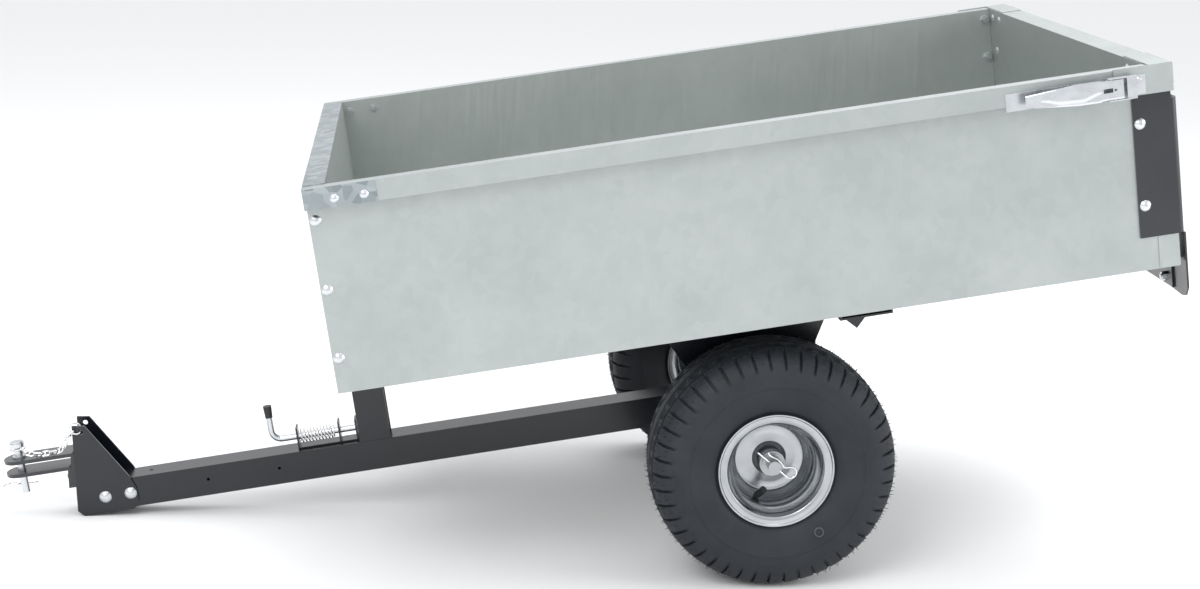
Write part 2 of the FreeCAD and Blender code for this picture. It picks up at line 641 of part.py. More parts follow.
def latch_base(name, side):
    """The plate on the side rim with two ears that carry the lever's pin."""
    base = plate(name + "_plate", (BASE_FRONT, BASE_REAR), span(side, RIM, RIM + " + 1.2"),
                 (MID + " - 13", MID + " + 13"))
    ear = [(BASE_REAR + " - 16", RIM + " + 1.2"), (BASE_REAR, RIM + " + 1.2"),
           (BASE_REAR + " + 2.5", TAB_OUT + " + 1.5"), (PIVOT_X + " + 3.5", PIVOT + " - 4"),
           (PIVOT_X + " + 3.5", PIVOT + " + 3.5"), (BASE_REAR, PIVOT + " + 4"),
           (BASE_REAR + " - 16", PIVOT)]
    pieces = [base]
    for place, sign in (("upper", 1), ("lower", -1)):
        pieces.append(profile("%s_%s" % (name, place), "XY_Plane", flipped(side, ear),
                              *layer("9", "11", sign)))
    bore = rod(name + "_bore", "z", (PIVOT_X, "%d * %s" % (side, PIVOT)), "2.5", MID + " - 12",
               MID + " + 12")
    return cut(name, fuse(name + "_ears", pieces), [bore])


def latch_lever(name, side):
    """A long pointed cover plate with two cheeks that turn on the pin and carry the hook."""
    nose = "(" + PIVOT_X + " + 4)"
    lower = [(LEVER_FRONT, "9"), (LEVER_FRONT + " + 76", "lever_high + 1.5"),
             (LINK_X + " - 16", "lever_high + 1.5"), (LINK_X + " - 10", "lever_high"), (nose, "lever_high")]
    points = [(along, "%s - (%s)" % (MID, off)) for along, off in lower]
    points += [(along, "%s + (%s)" % (MID, off)) for along, off in reversed(lower)]
    cover = profile(name + "_cover", "XZ_Plane", points,
                    *span(side, PIVOT + " + 6", PIVOT + " + 6 + lever_plate"))
    cheek = [(LINK_X + " - 8", PIVOT + " + 6"), (LINK_X + " - 6", PIVOT + " - 3"), (nose, PIVOT + " - 3.5"),
             (nose, PIVOT + " + 6")]
    pieces = [cover]
    tools = [rod(name + "_bore", "z", (PIVOT_X, "%d * %s" % (side, PIVOT)), "(2.5 + run_gap)",
                 MID + " - 15", MID + " + 15")]
    for place, sign in (("upper", 1), ("lower", -1)):
        pieces.append(profile("%s_%s" % (name, place), "XY_Plane", flipped(side, cheek),
                              *layer("12", "14", sign)))
        low, high = layer("12", "17.5", sign)
        pieces.append(rod("%s_stub_%s" % (name, place), "z", (LINK_X, "%d * (%s + 1)" % (side, PIVOT)),
                          "2", low, high))
    return cut(name, fuse(name + "_steel", pieces), tools)


def latch_hook(name, side):
    """Two arms on the lever's stubs, joined by a crossbar with a lip that hooks the keeper."""
    bar = plate(name + "_bar", (HOOK_REAR + " - 14", HOOK_REAR), span(side, PIVOT, PIVOT + " + 2"),
                (MID + " - 17", MID + " + 17"))
    lip = plate(name + "_lip", (HOOK_REAR + " - 2", HOOK_REAR), span(side, PIVOT + " - 8", PIVOT),
                (MID + " - 6", MID + " + 6"))
    pieces = [bar, lip]
    tools = []
    arm = [(LINK_X + " - 5", PIVOT + " - 3"), (HOOK_REAR + " - 8", PIVOT + " - 2"),
           (HOOK_REAR + " - 8", PIVOT + " + 4"),
           (LINK_X + " - 5", PIVOT + " + 5")]
    for place, sign in (("upper", 1), ("lower", -1)):
        pieces.append(profile("%s_%s" % (name, place), "XY_Plane", flipped(side, arm),
                              *layer("15", "17", sign)))
        tools.append(rod("%s_eye_%s" % (name, place), "z", (LINK_X, "%d * (%s + 1)" % (side, PIVOT)),
                         "(2 + run_gap)", *layer("14.5", "18", sign)))
    return cut(name, fuse(name + "_steel", pieces), tools)


# ---- tongue and hitch ----------------------------------------------------------------------

WEB_SLOPE = "(bracket_foot - bracket_head) / (bracket_top + 4)"


def web_face(height):
    """The front face of the hitch bracket's sloped web at a height."""
    return "(-bracket_foot + %s * (%s + 4))" % (WEB_SLOPE, height)


def tongue():
    """A square tube from the axle to the hitch bracket."""
    ends = ("-tongue_front", "tongue_rear")
    tube = plate("tube", ends, ("-" + HALF, HALF), (TONGUE_LOW, TONGUE_TOP))
    within = (HALF + " - tongue_wall")
    bore = plate("tube_bore", ("-tongue_front - 1", "tongue_rear + 1"), ("-(%s)" % within, within),
                 (TONGUE_LOW + " + tongue_wall", TONGUE_TOP + " - tongue_wall"))
    through = ("-(%s) - 1" % HALF, HALF + " + 1")
    bolts = [("-hitch_bolt_back", "tongue_rise"), ("-hitch_bolt_front", "tongue_rise")]
    holes = [bore, rod("tube_axle_hole", "y", ("0", "0"), "(axle_r + run_gap)", *through)]
    holes += drill("tube_bolt_hole", "y", bolts, *through, radius="(hitch_bolt_r + hole_gap)")
    holes += drill("tube_side_hole", "y", [("-885", "tongue_rise + 2"), ("-768", "tongue_rise + 2")],
                   through[0], "-(%s) + tongue_wall + 1" % HALF, "2.5")
    holes += drill("tube_top_hole", "z", [("-977", "0")], TONGUE_TOP + " - tongue_wall - 1",
                   TONGUE_TOP + " + 1", "3")
    return cut("tube_cut", tube, holes)


def hitch_bracket():
    """Two gussets either side of the tongue, joined by a sloped front web."""
    inner = HALF + " + 0.2"
    outer = inner + " + bracket_plate"
    back, low = "-bracket_back", "-bracket_low"
    gusset = [("-bracket_foot", "-4"), ("-bracket_foot + bracket_chamfer", low), ("%s - 9" % back, low),
              (back, "-2"), (back, "20"), ("%s - 8" % back, "42"), ("-bracket_head + 20",
                                                                    "bracket_top - 3"),
              ("-bracket_head", "bracket_top")]
    pieces = []
    holes = []
    for name, side in SIDES:
        across = span(side, inner, outer)
        pieces.append(profile("gusset_" + name, "XZ_Plane", gusset, *across))
        reach = span(side, inner + " - 1", outer + " + 1")
        holes += drill("gusset_hole_" + name, "y", [("-hitch_bolt_back", "tongue_rise"),
                                                    ("-hitch_bolt_front", "tongue_rise")],
                       *reach, radius="(hitch_bolt_r + hole_gap)")
        holes.append(rod("chain_hole_" + name, "y", ("-chain_hole_x", "chain_hole_z"), "chain_hole_r",
                         *reach))
    web = [(web_face("-4"), "-4"), (web_face("-4") + " + bracket_plate", "-4"),
           (web_face("web_top") + " + bracket_plate", "web_top"), (web_face("web_top"), "web_top")]
    pieces.append(profile("front_web", "XZ_Plane", web, "-(%s)" % outer, outer))
    return cut("bracket_cut", fuse("bracket_steel", pieces), holes + leg_holes("bracket"))


def leg_holes(name):
    """The holes for the leg bolts, square to the sloped web."""
    holes = []
    for end, side in SIDES:
        hole = doc.addObject("Part::Cylinder", "%s_leg_hole_%s" % (name, end))
        hole.Placement = Placement(Vector(), LEAN)
        hole.setExpression("Radius", link(HOLE))
        hole.Height = 2 * LEG_HOLE_REACH
        back_x, back_z = -LEG_DIRECTION.x * LEG_HOLE_REACH, -LEG_DIRECTION.z * LEG_HOLE_REACH
        hole.setExpression("Placement.Base.x", link("%s + (%g)" % (web_face("leg_bolt_z"), back_x)))
        hole.setExpression("Placement.Base.y", link("%d * leg_bolt_y" % side))
        hole.setExpression("Placement.Base.z", link("leg_bolt_z + (%g)" % back_z))
        holes.append(hole)
    return holes


LEG_HOLE_REACH = 25
LEAN_ANGLE = math.atan(value(WEB_SLOPE))
LEAN = Rotation(Vector(0, 1, 0), 90 + math.degrees(LEAN_ANGLE))
LEG_DIRECTION = LEAN.multVec(Vector(0, 0, 1))


def clevis_strap(name, low, layer_out):
    """A strap with a rounded tip, whose leg turns down against the hitch bracket's web."""
    high = low + " + strap"
    step = "strap * %g" % layer_out
    tip = rod(name + "_tip", "z", ("-pin_x", "0"), "strap_half", low, high)
    bend = high + " - 3"
    flat = plate(name + "_flat", ("-pin_x", web_face(low) + " - strap - (%s)" % step),
                 ("-strap_half", "strap_half"),
                 (low, high))
    leg = [(web_face("strap_leg_low") + " - (%s)" % step, "strap_leg_low"),
           (web_face("strap_leg_low") + " - strap - (%s)" % step, "strap_leg_low"),
           (web_face(low) + " - strap - (%s)" % step, low),
           (web_face(low) + " - strap - (%s)" % step, high),
           (web_face(bend) + " - 3 - (%s)" % step, high),
           (web_face(bend) + " - (%s)" % step, bend)]
    turned_leg = profile(name + "_leg", "XZ_Plane", leg, "-strap_half", "strap_half")
    holes = [rod(name + "_pin_hole", "z", ("-pin_x", "0"), "(pin_r + pin_gap)", low + " - 1",
                 high + " + 1")]
    return cut(name + "_cut", fuse(name + "_steel", [tip, flat, turned_leg]), holes + leg_holes(name))


def hitch_pin():
    """A shank with a flange that rests on the upper strap, a neck, and a round head."""
    at = ("-pin_x", "0")
    seat = "strap_high + strap + rest_gap"
    head_low = "pin_top - pin_head"
    pieces = [
        rod("pin_shank", "z", at, "pin_r", "pin_low", head_low),
        rod("pin_flange_disc", "z", at, "pin_flange_r", seat, seat + " + pin_flange"),
        rod("pin_head_disc", "z", at, "pin_head_r", head_low, "pin_top - 2"),
        rod("pin_head_crown", "z", at, "(pin_head_r - 2)", "pin_top - 2", "pin_top"),
    ]
    hole = rod("pin_clip_hole", "x", ("0", "pin_clip_z"), "(clip_r + run_gap)", "-pin_x - pin_r - 1",
               "-pin_x + pin_r + 1")
    return cut("pin_cut", fuse("pin_steel", pieces), [hole])


def hitch_clip():
    """The hitch pin's clip, its leg through the pin and its loop ahead of it."""
    tail = 24
    clip = hairpin(54, 7, size("clip_r"), tail, size("pin_r") + size("clip_r") + 0.45, False)
    turn = Rotation(Vector(0, 0, 1), 180).multiply(Rotation(Vector(1, 0, 0), 90))
    clip.Placement = Placement(Vector(-size("pin_x") + tail, 0, size("pin_clip_z")), turn)
    return [clip]


def safety_chain():
    """A ring round the pin's neck and the chain that hangs from it to the gusset's ring."""
    wire = size("chain_wire_r")
    neck_r, ring_z = size("neck_ring_r"), size("neck_ring_z")
    centre = Vector(-size("pin_x"), 0, ring_z)
    solids = [Part.makeTorus(neck_r, wire, centre, Vector(0, 0, 1))]
    start = centre + Vector(neck_r * math.cos(math.radians(50)), -neck_r * math.sin(math.radians(50)), 0)
    end = ring_point(-1)
    lie = size("strap_high") + size("strap") + size("chain_wire_r") + 4
    points = [start, Vector(-1165, -17, lie + 4.5), Vector(-1150, -20, lie + 0.4), Vector(-1125, -21, lie),
              Vector(-1110, -25.5, lie + 3), Vector(-1102, -30.5, lie + 11), Vector(-1094, -35,
                                                                                    lie + 22), end]
    curve = Part.BSplineCurve()
    curve.interpolate(points)
    path = curve.toShape()
    count = int(size("chain_links"))
    first, last = 5, path.Length - 4.2
    for number in range(count):
        share = number / (count - 1)
        along = curve.parameterAtDistance(first + (last - first) * share, curve.FirstParameter)
        tangent = Vector(*curve.tangent(along)[0])
        piece = link_solid(4, 4, wire)
        roll = Rotation(Vector(1, 0, 0), 30 * share - 60 + 90 * (number % 2))
        side_way = Vector(0, 0, 1).cross(tangent)
        frame = Rotation(tangent, side_way, Vector(), "XZY")
        piece.Placement = Placement(curve.value(along), frame.multiply(roll))
        solids.append(piece)
    return solids


RING_OUT = Vector(-1, 0, 1).normalize()
RING_LEAN = math.radians(40)


def ring_frame():
    """The centre of the ring in the gusset's hole, and the way it leans across the gusset."""
    middle = Vector(-size("chain_hole_x"), -value(HALF + " + 0.2 + bracket_plate / 2"),
                    size("chain_hole_z"))
    across = Vector(0, math.cos(RING_LEAN), 0) + Vector(1, 0, 1).normalize() * math.sin(RING_LEAN)
    return middle + RING_OUT * size("ring_r"), across


def ring_point(sign):
    """The ring's outermost point on one side of the gusset."""
    centre, across = ring_frame()
    return centre + across * (sign * size("ring_r"))


def chain_ring():
    """The ring threaded through the near gusset's hole."""
    centre, across = ring_frame()
    return [Part.makeTorus(size("ring_r"), size("ring_wire_r"), centre, RING_OUT.cross(across))]


# ---- axle and wheels -----------------------------------------------------------------------

CLIP_WAY = Rotation(Vector(0, 1, 0), 49)


def axle():
    """A solid bar, cross-drilled near each end for a clip."""
    bar = rod("axle_bar", "y", ("0", "0"), "axle_r", "-axle_half", "axle_half")
    holes = []
    for name, side in SIDES:
        hole = doc.addObject("Part::Cylinder", "axle_hole_" + name)
        turn = CLIP_WAY.multiply(AXES["x"])
        hole.Placement = Placement(turn.multVec(Vector(0, 0, -20)), turn)
        hole.setExpression("Radius", link("clip_r + run_gap"))
        hole.Height = 40
        hole.setExpression("Placement.Base.y", link("%d * clip_y" % side))
        holes.append(hole)
    return cut("axle_cut", bar, holes)


def wheel_clips():
    """The clip at each end of the axle."""
    clips = []
    for _, side in SIDES:
        clip = hairpin(60, 9, size("clip_r"), 33, size("axle_r") + size("clip_r") + 0.1, True)
        start = CLIP_WAY.multVec(Vector(-33, 0, 0))
        clip.Placement = Placement(start + Vector(0, side * size("clip_y"), 0), CLIP_WAY)
        clips.append(clip)
    return clips


def ring_between(low, high, outer, side):
    """A plain ring round the axle between two stations on one side."""
    start = Vector(0, side * low, 0)
    way = Vector(0, side, 0)
    ring = Part.makeCylinder(outer, high - low, start, way)
    return ring.cut(Part.makeCylinder(size("axle_r") + size("run_gap"), high - low, start, way))


def axle_washers():
    """Two washers outside each wheel and one between wheel and bracket."""
    play, thick = size("side_play"), size("washer")
    outside = size("hub_out") + size("bush_flange") + play
    inside = size("bracket_out") + play
    rings = []
    for _, side in SIDES:
        rings.append(ring_between(outside, outside + thick, size("washer_r"), side))
        rings.append(ring_between(outside + thick + 0.1, outside + 2 * thick, size("washer_r") - 3, side))
        rings.append(ring_between(inside, value("hub_in - bush_flange - side_play"), size("washer_r"),
                                  side))
    return rings


def axle_spacers():
    """A tube on the axle between the tongue and each bracket."""
    low = value(HALF) + size("side_play")
    high = value("bracket_out - plate - side_play")
    return [ring_between(low, high, size("spacer_r"), side) for _, side in SIDES]


def on_wheel(side, points):
    """Section corners given as (outward from the wheel's middle, radius)."""
    return [("%d * (wheel_mid + (%s))" % (side, out), radius) for out, radius in points]


def mirrored(points):
    """A section's outer half, followed by its inner half."""
    return points + [("-(%s)" % out, radius) for out, radius in reversed(points)]


def tyre(name, side):
    """A hollow turf tyre on the rim's two bead seats."""
    crown = [("rim_half - 5.5", "bead_r + 0.2"), ("rim_half - 5.5", "flange_r + 1"),
             ("rim_half + 1", "flange_r + 7"),
             ("tyre_half - 4", "tyre_r - 70"), ("tyre_half", "tyre_r - 48"), ("tyre_half - 3",
                                                                              "tyre_r - 28"),
             ("tyre_half - 14", "tyre_r - 12"), ("tyre_half - 31", "tyre_r - 4"), ("tyre_half - 56",
                                                                                   "tyre_r")]
    inside = [("rim_half - 17", "bead_r + 0.2"), ("rim_half - 17", "bead_r + 9"),
              ("rim_half - 8", "flange_r + 9"),
              ("tyre_half - 11", "tyre_r - 70"), ("tyre_half - 7", "tyre_r - 48"), ("tyre_half - 10",
                                                                                    "tyre_r - 30"),
              ("tyre_half - 20", "tyre_r - 19"), ("tyre_half - 33", "tyre_r - 11"), ("tyre_half - 57",
                                                                                     "tyre_r - 7")]
    ring = mirrored(crown)
    hollow = mirrored(inside)
    return turned(name, on_wheel(side, ring + hollow[::-1]))


def rim(name, side):
    """A stepped barrel with rolled flanges, a dished disc and a hub tube."""
    tread_side = mirrored([("well_r * 0.45", "well_r"), ("rim_half - 21", "bead_r"),
                           ("rim_half - 5", "bead_r"),
                           ("rim_half - 5", "flange_r"), ("rim_half", "flange_r")][::-1])
    axle_side = mirrored([("rim_half", "flange_r - rim_wall"),
                          ("rim_half - 5 + rim_wall", "flange_r - rim_wall"),
                          ("rim_half - 5 + rim_wall", "bead_r - rim_wall"), ("rim_half - 22",
                                                                             "bead_r - rim_wall"),
                          ("well_r * 0.45 - 1", "well_r - rim_wall")])
    barrel = turned(name + "_barrel", on_wheel(side, tread_side + axle_side[::-1]))
    skin = "well_r - rim_wall / 2"
    disc = turned(name + "_disc", on_wheel(side, [
        ("-disc_in - 3", "hub_r - 2"), ("-disc_in", "hub_r - 2"), ("-disc_in", "well_r - 14"),
        ("-disc_in + 9", skin), ("-disc_in + 5.5", skin), ("-disc_in - 3", "well_r - 12")]))
    hub = turned(name + "_hub", [("%d * hub_in" % side, "bush_r"), ("%d * hub_out" % side, "bush_r"),
                                 ("%d * hub_out" % side, "hub_r"), ("%d * hub_in" % side, "hub_r")])
    seat = valve_bar(name + "_valve_hole", side, "3.55", -6, 6)
    return cut(name + "_cut", fuse(name + "_steel", [barrel, disc, hub]), [seat])


def valve_bar(name, side, radius, low, high):
    """A bar on the valve's slanted axis, between two distances from the barrel's wall."""
    way = Vector(12, 16 * side, 15).normalize()
    bar = doc.addObject("Part::Cylinder", name)
    bar.Placement = Placement(Vector(), Rotation(Vector(0, 0, 1), way))
    bar.setExpression("Radius", link(radius))
    bar.Height = high - low
    bar.setExpression("Placement.Base.x", link("-valve_x + (%g)" % (way.x * low)))
    bar.setExpression("Placement.Base.y", link("%d * (wheel_mid + valve_out) + (%g)" % (side, way.y * low)))
    bar.setExpression("Placement.Base.z", link("-valve_z + (%g)" % (way.z * low)))
    return bar


def bushes(name, side):
    """A flanged bush in each end of the hub."""
    bore = "axle_r + run_gap"
    halves = []
    for end, edge, inward in (("inner", "hub_in", 1), ("outer", "hub_out", -1)):
        corners = [("0", "bush_flange_r"), ("0", "bush_r"), ("bush_length", "bush_r"),
                   ("bush_length", bore),
                   ("-bush_flange", bore), ("-bush_flange", "bush_flange_r")]
        corners = [("%d * (%s + %d * (%s))" % (side, edge, inward, along), radius) for along,
                   radius in corners]
        halves.append(turned("%s_%s" % (name, end), corners))
    return fuse(name + "_pair", halves)


def valve(name, side):
    """A rubber stem through the barrel, with a foot inside the tyre and a cap."""
    cap_low = 6
    pieces = [
        valve_bar(name + "_foot", side, "valve_r", -11.5, -8.5),
        valve_bar(name + "_stem", side, "3.5", -8.5, cap_low),
        valve_bar(name + "_cap", side, "valve_r", cap_low, size("valve_length")),
    ]
    return fuse(name + "_rubber", pieces)


# ---- spring latch on the tongue ------------------------------------------------------------

def latch_bracket():
    """A base strip on the tongue with three upright ears that guide the rod."""
    wide = ("-ear_half", "ear_half")
    base_top = TONGUE_TOP + " + ear"
    pieces = [plate("latch_strip", ("-latch_front", "-latch_guide"), wide, (TONGUE_TOP, base_top))]
    for name, low in (("front", "-latch_front"), ("middle", "-latch_rear - ear"),
                      ("rear", "-latch_guide - ear")):
        pieces.append(plate("latch_ear_" + name, (low, low + " + ear"), wide, (base_top, "ear_top")))
    bore = rod("latch_bore", "x", ("0", "latch_z"), "(latch_r + 0.4)", "-latch_front - 1",
               "-latch_guide + 1")
    return cut("latch_bracket_cut", fuse("latch_bracket_steel", pieces), [bore])


def latch_rod():
    """A rod with a collar for the spring, bent upright at its front end."""
    bend = doc.addObject("Part::Torus", "rod_bend")
    bend.Angle3 = 90
    bend.Placement = Placement(Vector(), Rotation(Vector(-1, 0, 0), Vector(0, 0, -1), Vector(0, -1, 0),
                                                  "XYZ"))
    bend.setExpression("Radius1", link("latch_bend_r"))
    bend.setExpression("Radius2", link("latch_r"))
    bend.setExpression("Placement.Base.x", link("-handle_x + latch_bend_r"))
    bend.setExpression("Placement.Base.z", link("latch_z + latch_bend_r"))
    along = ("0", "latch_z")
    pieces = [
        bend,
        rod("rod_level", "x", along, "latch_r", "-handle_x + latch_bend_r", "-post_front - nose_gap"),
        rod("rod_upright", "z", ("-handle_x", "0"), "latch_r", "latch_z + latch_bend_r", "handle_top"),
        rod("rod_collar", "x", along, "collar_r", "-collar_x - 2", "-collar_x"),
    ]
    return fuse("rod_steel", pieces)


def latch_knob():
    """A tapered cap pressed on the rod's upright end."""
    cap = doc.addObject("Part::Cone", "knob_body")
    cap.setExpression("Radius1", link("cap_r - 1"))
    cap.setExpression("Radius2", link("cap_r"))
    cap.setExpression("Height", link("cap_top - cap_low"))
    cap.setExpression("Placement.Base.x", link("-handle_x"))
    cap.setExpression("Placement.Base.z", link("cap_low"))
    return cut("knob_cut", cap, [rod("knob_bore", "z", ("-handle_x", "0"), "latch_r", "cap_low - 1",
                                     "handle_top")])


def latch_spring():
    """A coil between the front ear and the collar."""
    low = value("-latch_front + ear + 0.5")
    high = value("-collar_x - 2 - 0.5")
    wire = size("wire_r")
    length = high - low - 2 * wire
    coil = Part.makeHelix(length / size("coils"), length, size("spring_r"))
    section = Part.Wire([Part.makeCircle(wire, Vector(size("spring_r"), 0, 0), Vector(0, 1, 0))])
    spring = Part.Wire(coil.Edges).makePipeShell([section], True, True)
    spring.Placement = Placement(Vector(low + wire, 0, size("latch_z")), AXES["x"])
    return [spring]


# ---- fasteners of the bed ------------------------------------------------------------------

def side_bolts(spots, outer, grip, radius, head_r):
    """Bolts from both outer sides inward, at (along, up) spots."""
    solids = []
    for _, side in SIDES:
        for along, up in spots:
            start = Vector(value(along), side * value(outer), value(up))
            solids += bolt(start, Vector(0, -side, 0), value(grip), radius, head_r)
    return solids


def tailgate_bolts():
    """Three bolts through each corner tab and the tailgate's face."""
    solids = []
    for _, side in SIDES:
        for across, up in gate_bolts(side):
            start = Vector(value(GATE), value(across), value(up))
            solids += bolt(start, Vector(1, 0, 0), value("sheet + tab"), size("screw_r"),
                           size("screw_head_r"))
    return solids


def keeper_rivets():
    """A rivet that holds each keeper flush on its tab."""
    solids = []
    along, up = keeper_spot()[0]
    for _, side in SIDES:
        start = Vector(value(along), side * value(TAB_OUT + " + 1.2"), value(up))
        dome = Part.makeCone(4.5, 3, 2)
        dome.Placement = Placement(Vector(), Rotation(Vector(1, 0, 0), 180))
        rivet = dome.fuse(Part.makeCylinder(size("screw_r"), size("tab") + 1.2))
        rivet.Placement = aim(start, Vector(0, -side, 0))
        solids.append(rivet)
    return solids


def pivot_pins():
    """The pins that the two levers turn on."""
    half = 14
    solids = []
    for _, side in SIDES:
        foot = Vector(value(PIVOT_X), side * value(PIVOT), value(MID) - half)
        solids.append(Part.makeCylinder(2.5, 2 * half, foot))
    return solids


def clevis_bolts():
    """Two bolts through both strap legs and the sloped web."""
    solids = []
    for _, side in SIDES:
        start = Vector(value(web_face("leg_bolt_z")), side * size("leg_bolt_y"), size("leg_bolt_z"))
        start = start - LEG_DIRECTION * (size("strap") * 2 * math.cos(LEAN_ANGLE))
        grip = (size("strap") * 2 + size("bracket_plate")) * math.cos(LEAN_ANGLE)
        solids += bolt(start, LEG_DIRECTION, grip, size("bolt_r"), 7.5)
    return solids


# ---- the assembly --------------------------------------------------------------------------

for side_name, side_sign in SIDES:
    node("side_panel_" + side_name, side_panel("side_" + side_name, side_sign))
    node("rear_post_" + side_name, rear_post("post_" + side_name, side_sign))
    node("rear_bracket_" + side_name, rear_bracket("corner_" + side_name, side_sign))
    node("axle_bracket_" + side_name, axle_bracket("carrier_" + side_name, side_sign))
    node("tailgate_tab_" + side_name, tailgate_tab("tab_" + side_name, side_sign))
    node("latch_keeper_" + side_name, keeper("keep_" + side_name, side_sign))
    node("latch_base_" + side_name, latch_base("base_" + side_name, side_sign))
    node("latch_lever_" + side_name, latch_lever("lever_" + side_name, side_sign))
    node("latch_hook_" + side_name, latch_hook("hook_" + side_name, side_sign))
    node("tyre_" + side_name, tyre("tyre_body_" + side_name, side_sign))
    node("rim_" + side_name, rim("rim_body_" + side_name, side_sign))
    node("bushes_" + side_name, bushes("bush_" + side_name, side_sign))
    node("valve_" + side_name, valve("stem_" + side_name, side_sign))

node("bed_floor", bed_floor())
node("front_panel", front_panel())
node("front_top_rail", front_top_rail())
node("rear_rail", rear_rail())
node("cross_brace", cross_brace())
node("bed_post", post())
node("tailgate_panel", tailgate())
node("tongue", tongue())
node("hitch_bracket", hitch_bracket())
node("clevis_strap_upper", clevis_strap("strap_upper", "strap_high", 0))
node("clevis_strap_lower", clevis_strap("strap_lower", "strap_low", 1))
node("hitch_pin", hitch_pin())
node("axle", axle())
node("latch_bracket", latch_bracket())
node("latch_rod", latch_rod())
node("latch_knob", latch_knob())

made("hitch_clip", hitch_clip())
made("chain_links", safety_chain())
made("chain_ring", chain_ring())
made("axle_washers", axle_washers())
made("axle_spacers", axle_spacers())
made("wheel_clips", wheel_clips())
made("latch_spring", latch_spring())
made("latch_pivot_pins", pivot_pins())
made("keeper_rivets", keeper_rivets())
made("tailgate_bolts", tailgate_bolts())
made("front_bolts", side_bolts(FRONT_BOLTS, OUT, "2 * sheet", size("bolt_r"), size("bolt_head_r")))
made("strap_screws", side_bolts(STRAP_SCREWS, RIM + " + tab", "tab + rim_out + sheet",
                                size("screw_r"), size("screw_head_r")))
made("rear_bracket_bolts", side_bolts(LEAF_BOLTS, CORNER, "plate + sheet", size("bolt_r"),
                                      size("bolt_head_r")))
made("rail_bolts", bolts_along("x", -1, rail_spots(-1) + rail_spots(1), LEAF_BACK, "2 * plate"))
made("floor_bolts", bolts_along("z", -1, DECK_BOLTS, DECK, "sheet + plate"))
made("clevis_bolts", clevis_bolts())
hitch_spots = [Vector(-size("hitch_bolt_" + place), -value(HALF + " + 0.2 + bracket_plate"),
                      size("tongue_rise"))
               for place in ("back", "front")]
made("hitch_bolts", [solid for spot in hitch_spots
                     for solid in bolt(spot, Vector(0, 1, 0),
                                       value("2 * (%s + 0.2 + bracket_plate)" % HALF),
                                       size("hitch_bolt_r"), size("hitch_head_r"))])

# ---- check and write -----------------------------------------------------------------------

doc.recompute()
for item in doc.Objects:
    if "Invalid" in item.State or "Error" in item.State:
        raise RuntimeError("%s did not compute: %s" % (item.Name, item.State))
for piece in NODES:
    if piece.Shape.isNull() or not piece.Shape.isValid() or not piece.Shape.Solids:
        raise RuntimeError("%s has no valid shape" % piece.Label)

os.makedirs("parts", exist_ok=True)
for piece in NODES:
    piece.Shape.exportStep("parts/%s.step" % piece.Label)
print("%d sub-parts written" % len(NODES))
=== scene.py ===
import json
import math
import random

import bmesh
import bpy
from mathutils import Euler, Matrix, Vector

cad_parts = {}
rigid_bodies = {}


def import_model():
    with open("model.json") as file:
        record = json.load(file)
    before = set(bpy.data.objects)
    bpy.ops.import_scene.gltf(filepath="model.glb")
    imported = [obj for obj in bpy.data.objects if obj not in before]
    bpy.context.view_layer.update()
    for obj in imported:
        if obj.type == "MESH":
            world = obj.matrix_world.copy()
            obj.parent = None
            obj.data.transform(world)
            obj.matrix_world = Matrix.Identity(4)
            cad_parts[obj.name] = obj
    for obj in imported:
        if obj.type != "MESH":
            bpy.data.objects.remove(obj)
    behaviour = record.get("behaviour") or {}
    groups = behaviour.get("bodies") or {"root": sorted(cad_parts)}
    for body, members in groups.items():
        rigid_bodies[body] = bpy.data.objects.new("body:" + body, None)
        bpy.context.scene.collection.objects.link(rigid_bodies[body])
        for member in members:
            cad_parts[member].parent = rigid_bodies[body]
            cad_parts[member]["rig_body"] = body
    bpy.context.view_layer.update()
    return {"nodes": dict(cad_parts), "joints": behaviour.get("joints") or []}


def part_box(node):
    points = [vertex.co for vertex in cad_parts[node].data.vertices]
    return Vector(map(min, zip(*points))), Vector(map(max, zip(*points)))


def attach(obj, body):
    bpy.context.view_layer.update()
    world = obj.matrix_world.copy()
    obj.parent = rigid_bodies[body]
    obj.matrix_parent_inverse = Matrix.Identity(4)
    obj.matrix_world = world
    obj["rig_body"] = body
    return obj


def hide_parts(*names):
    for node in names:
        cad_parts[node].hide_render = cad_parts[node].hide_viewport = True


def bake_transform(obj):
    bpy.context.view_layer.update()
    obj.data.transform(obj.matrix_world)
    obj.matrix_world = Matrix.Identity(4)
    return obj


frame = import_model()
NODES = frame["nodes"]
JOINTS = {joint["name"]: joint for joint in frame["joints"]}

# The cart stands nose-down on its wheels. Pieces drawn here use a level frame in millimetres
# with its origin at the axle's centre: X to the rear, Y to the right, Z up.
LENGTHWAYS = Vector(JOINTS["latch_rod_pull"]["axis"])
PARK_ANGLE = math.atan2(LENGTHWAYS.z, LENGTHWAYS.x)
AXLE = Vector(JOINTS["bed_tip"]["pos_m"])
LEVEL = Matrix.Translation(AXLE) @ Matrix.Rotation(-PARK_ANGLE, 4, "Y") @ Matrix.Scale(0.001, 4)
SIDES = (("left", -1), ("right", 1))
random.seed(7)


# ---- materials -----------------------------------------------------------------------------

def material(name):
    """A new material, its node tree and its main shader."""
    mat = bpy.data.materials.new(name)
    mat.use_nodes = True
    tree = mat.node_tree
    return mat, tree, tree.nodes["Principled BSDF"]


def coordinates(tree, scale, stretch=(1, 1, 1)):
    """Object-space coordinates, stretched and scaled."""
    source = tree.nodes.new("ShaderNodeTexCoord")
    mapping = tree.nodes.new("ShaderNodeMapping")
    mapping.inputs["Scale"].default_value = [scale * factor for factor in stretch]
    tree.links.new(source.outputs["Object"], mapping.inputs["Vector"])
    return mapping.outputs["Vector"]


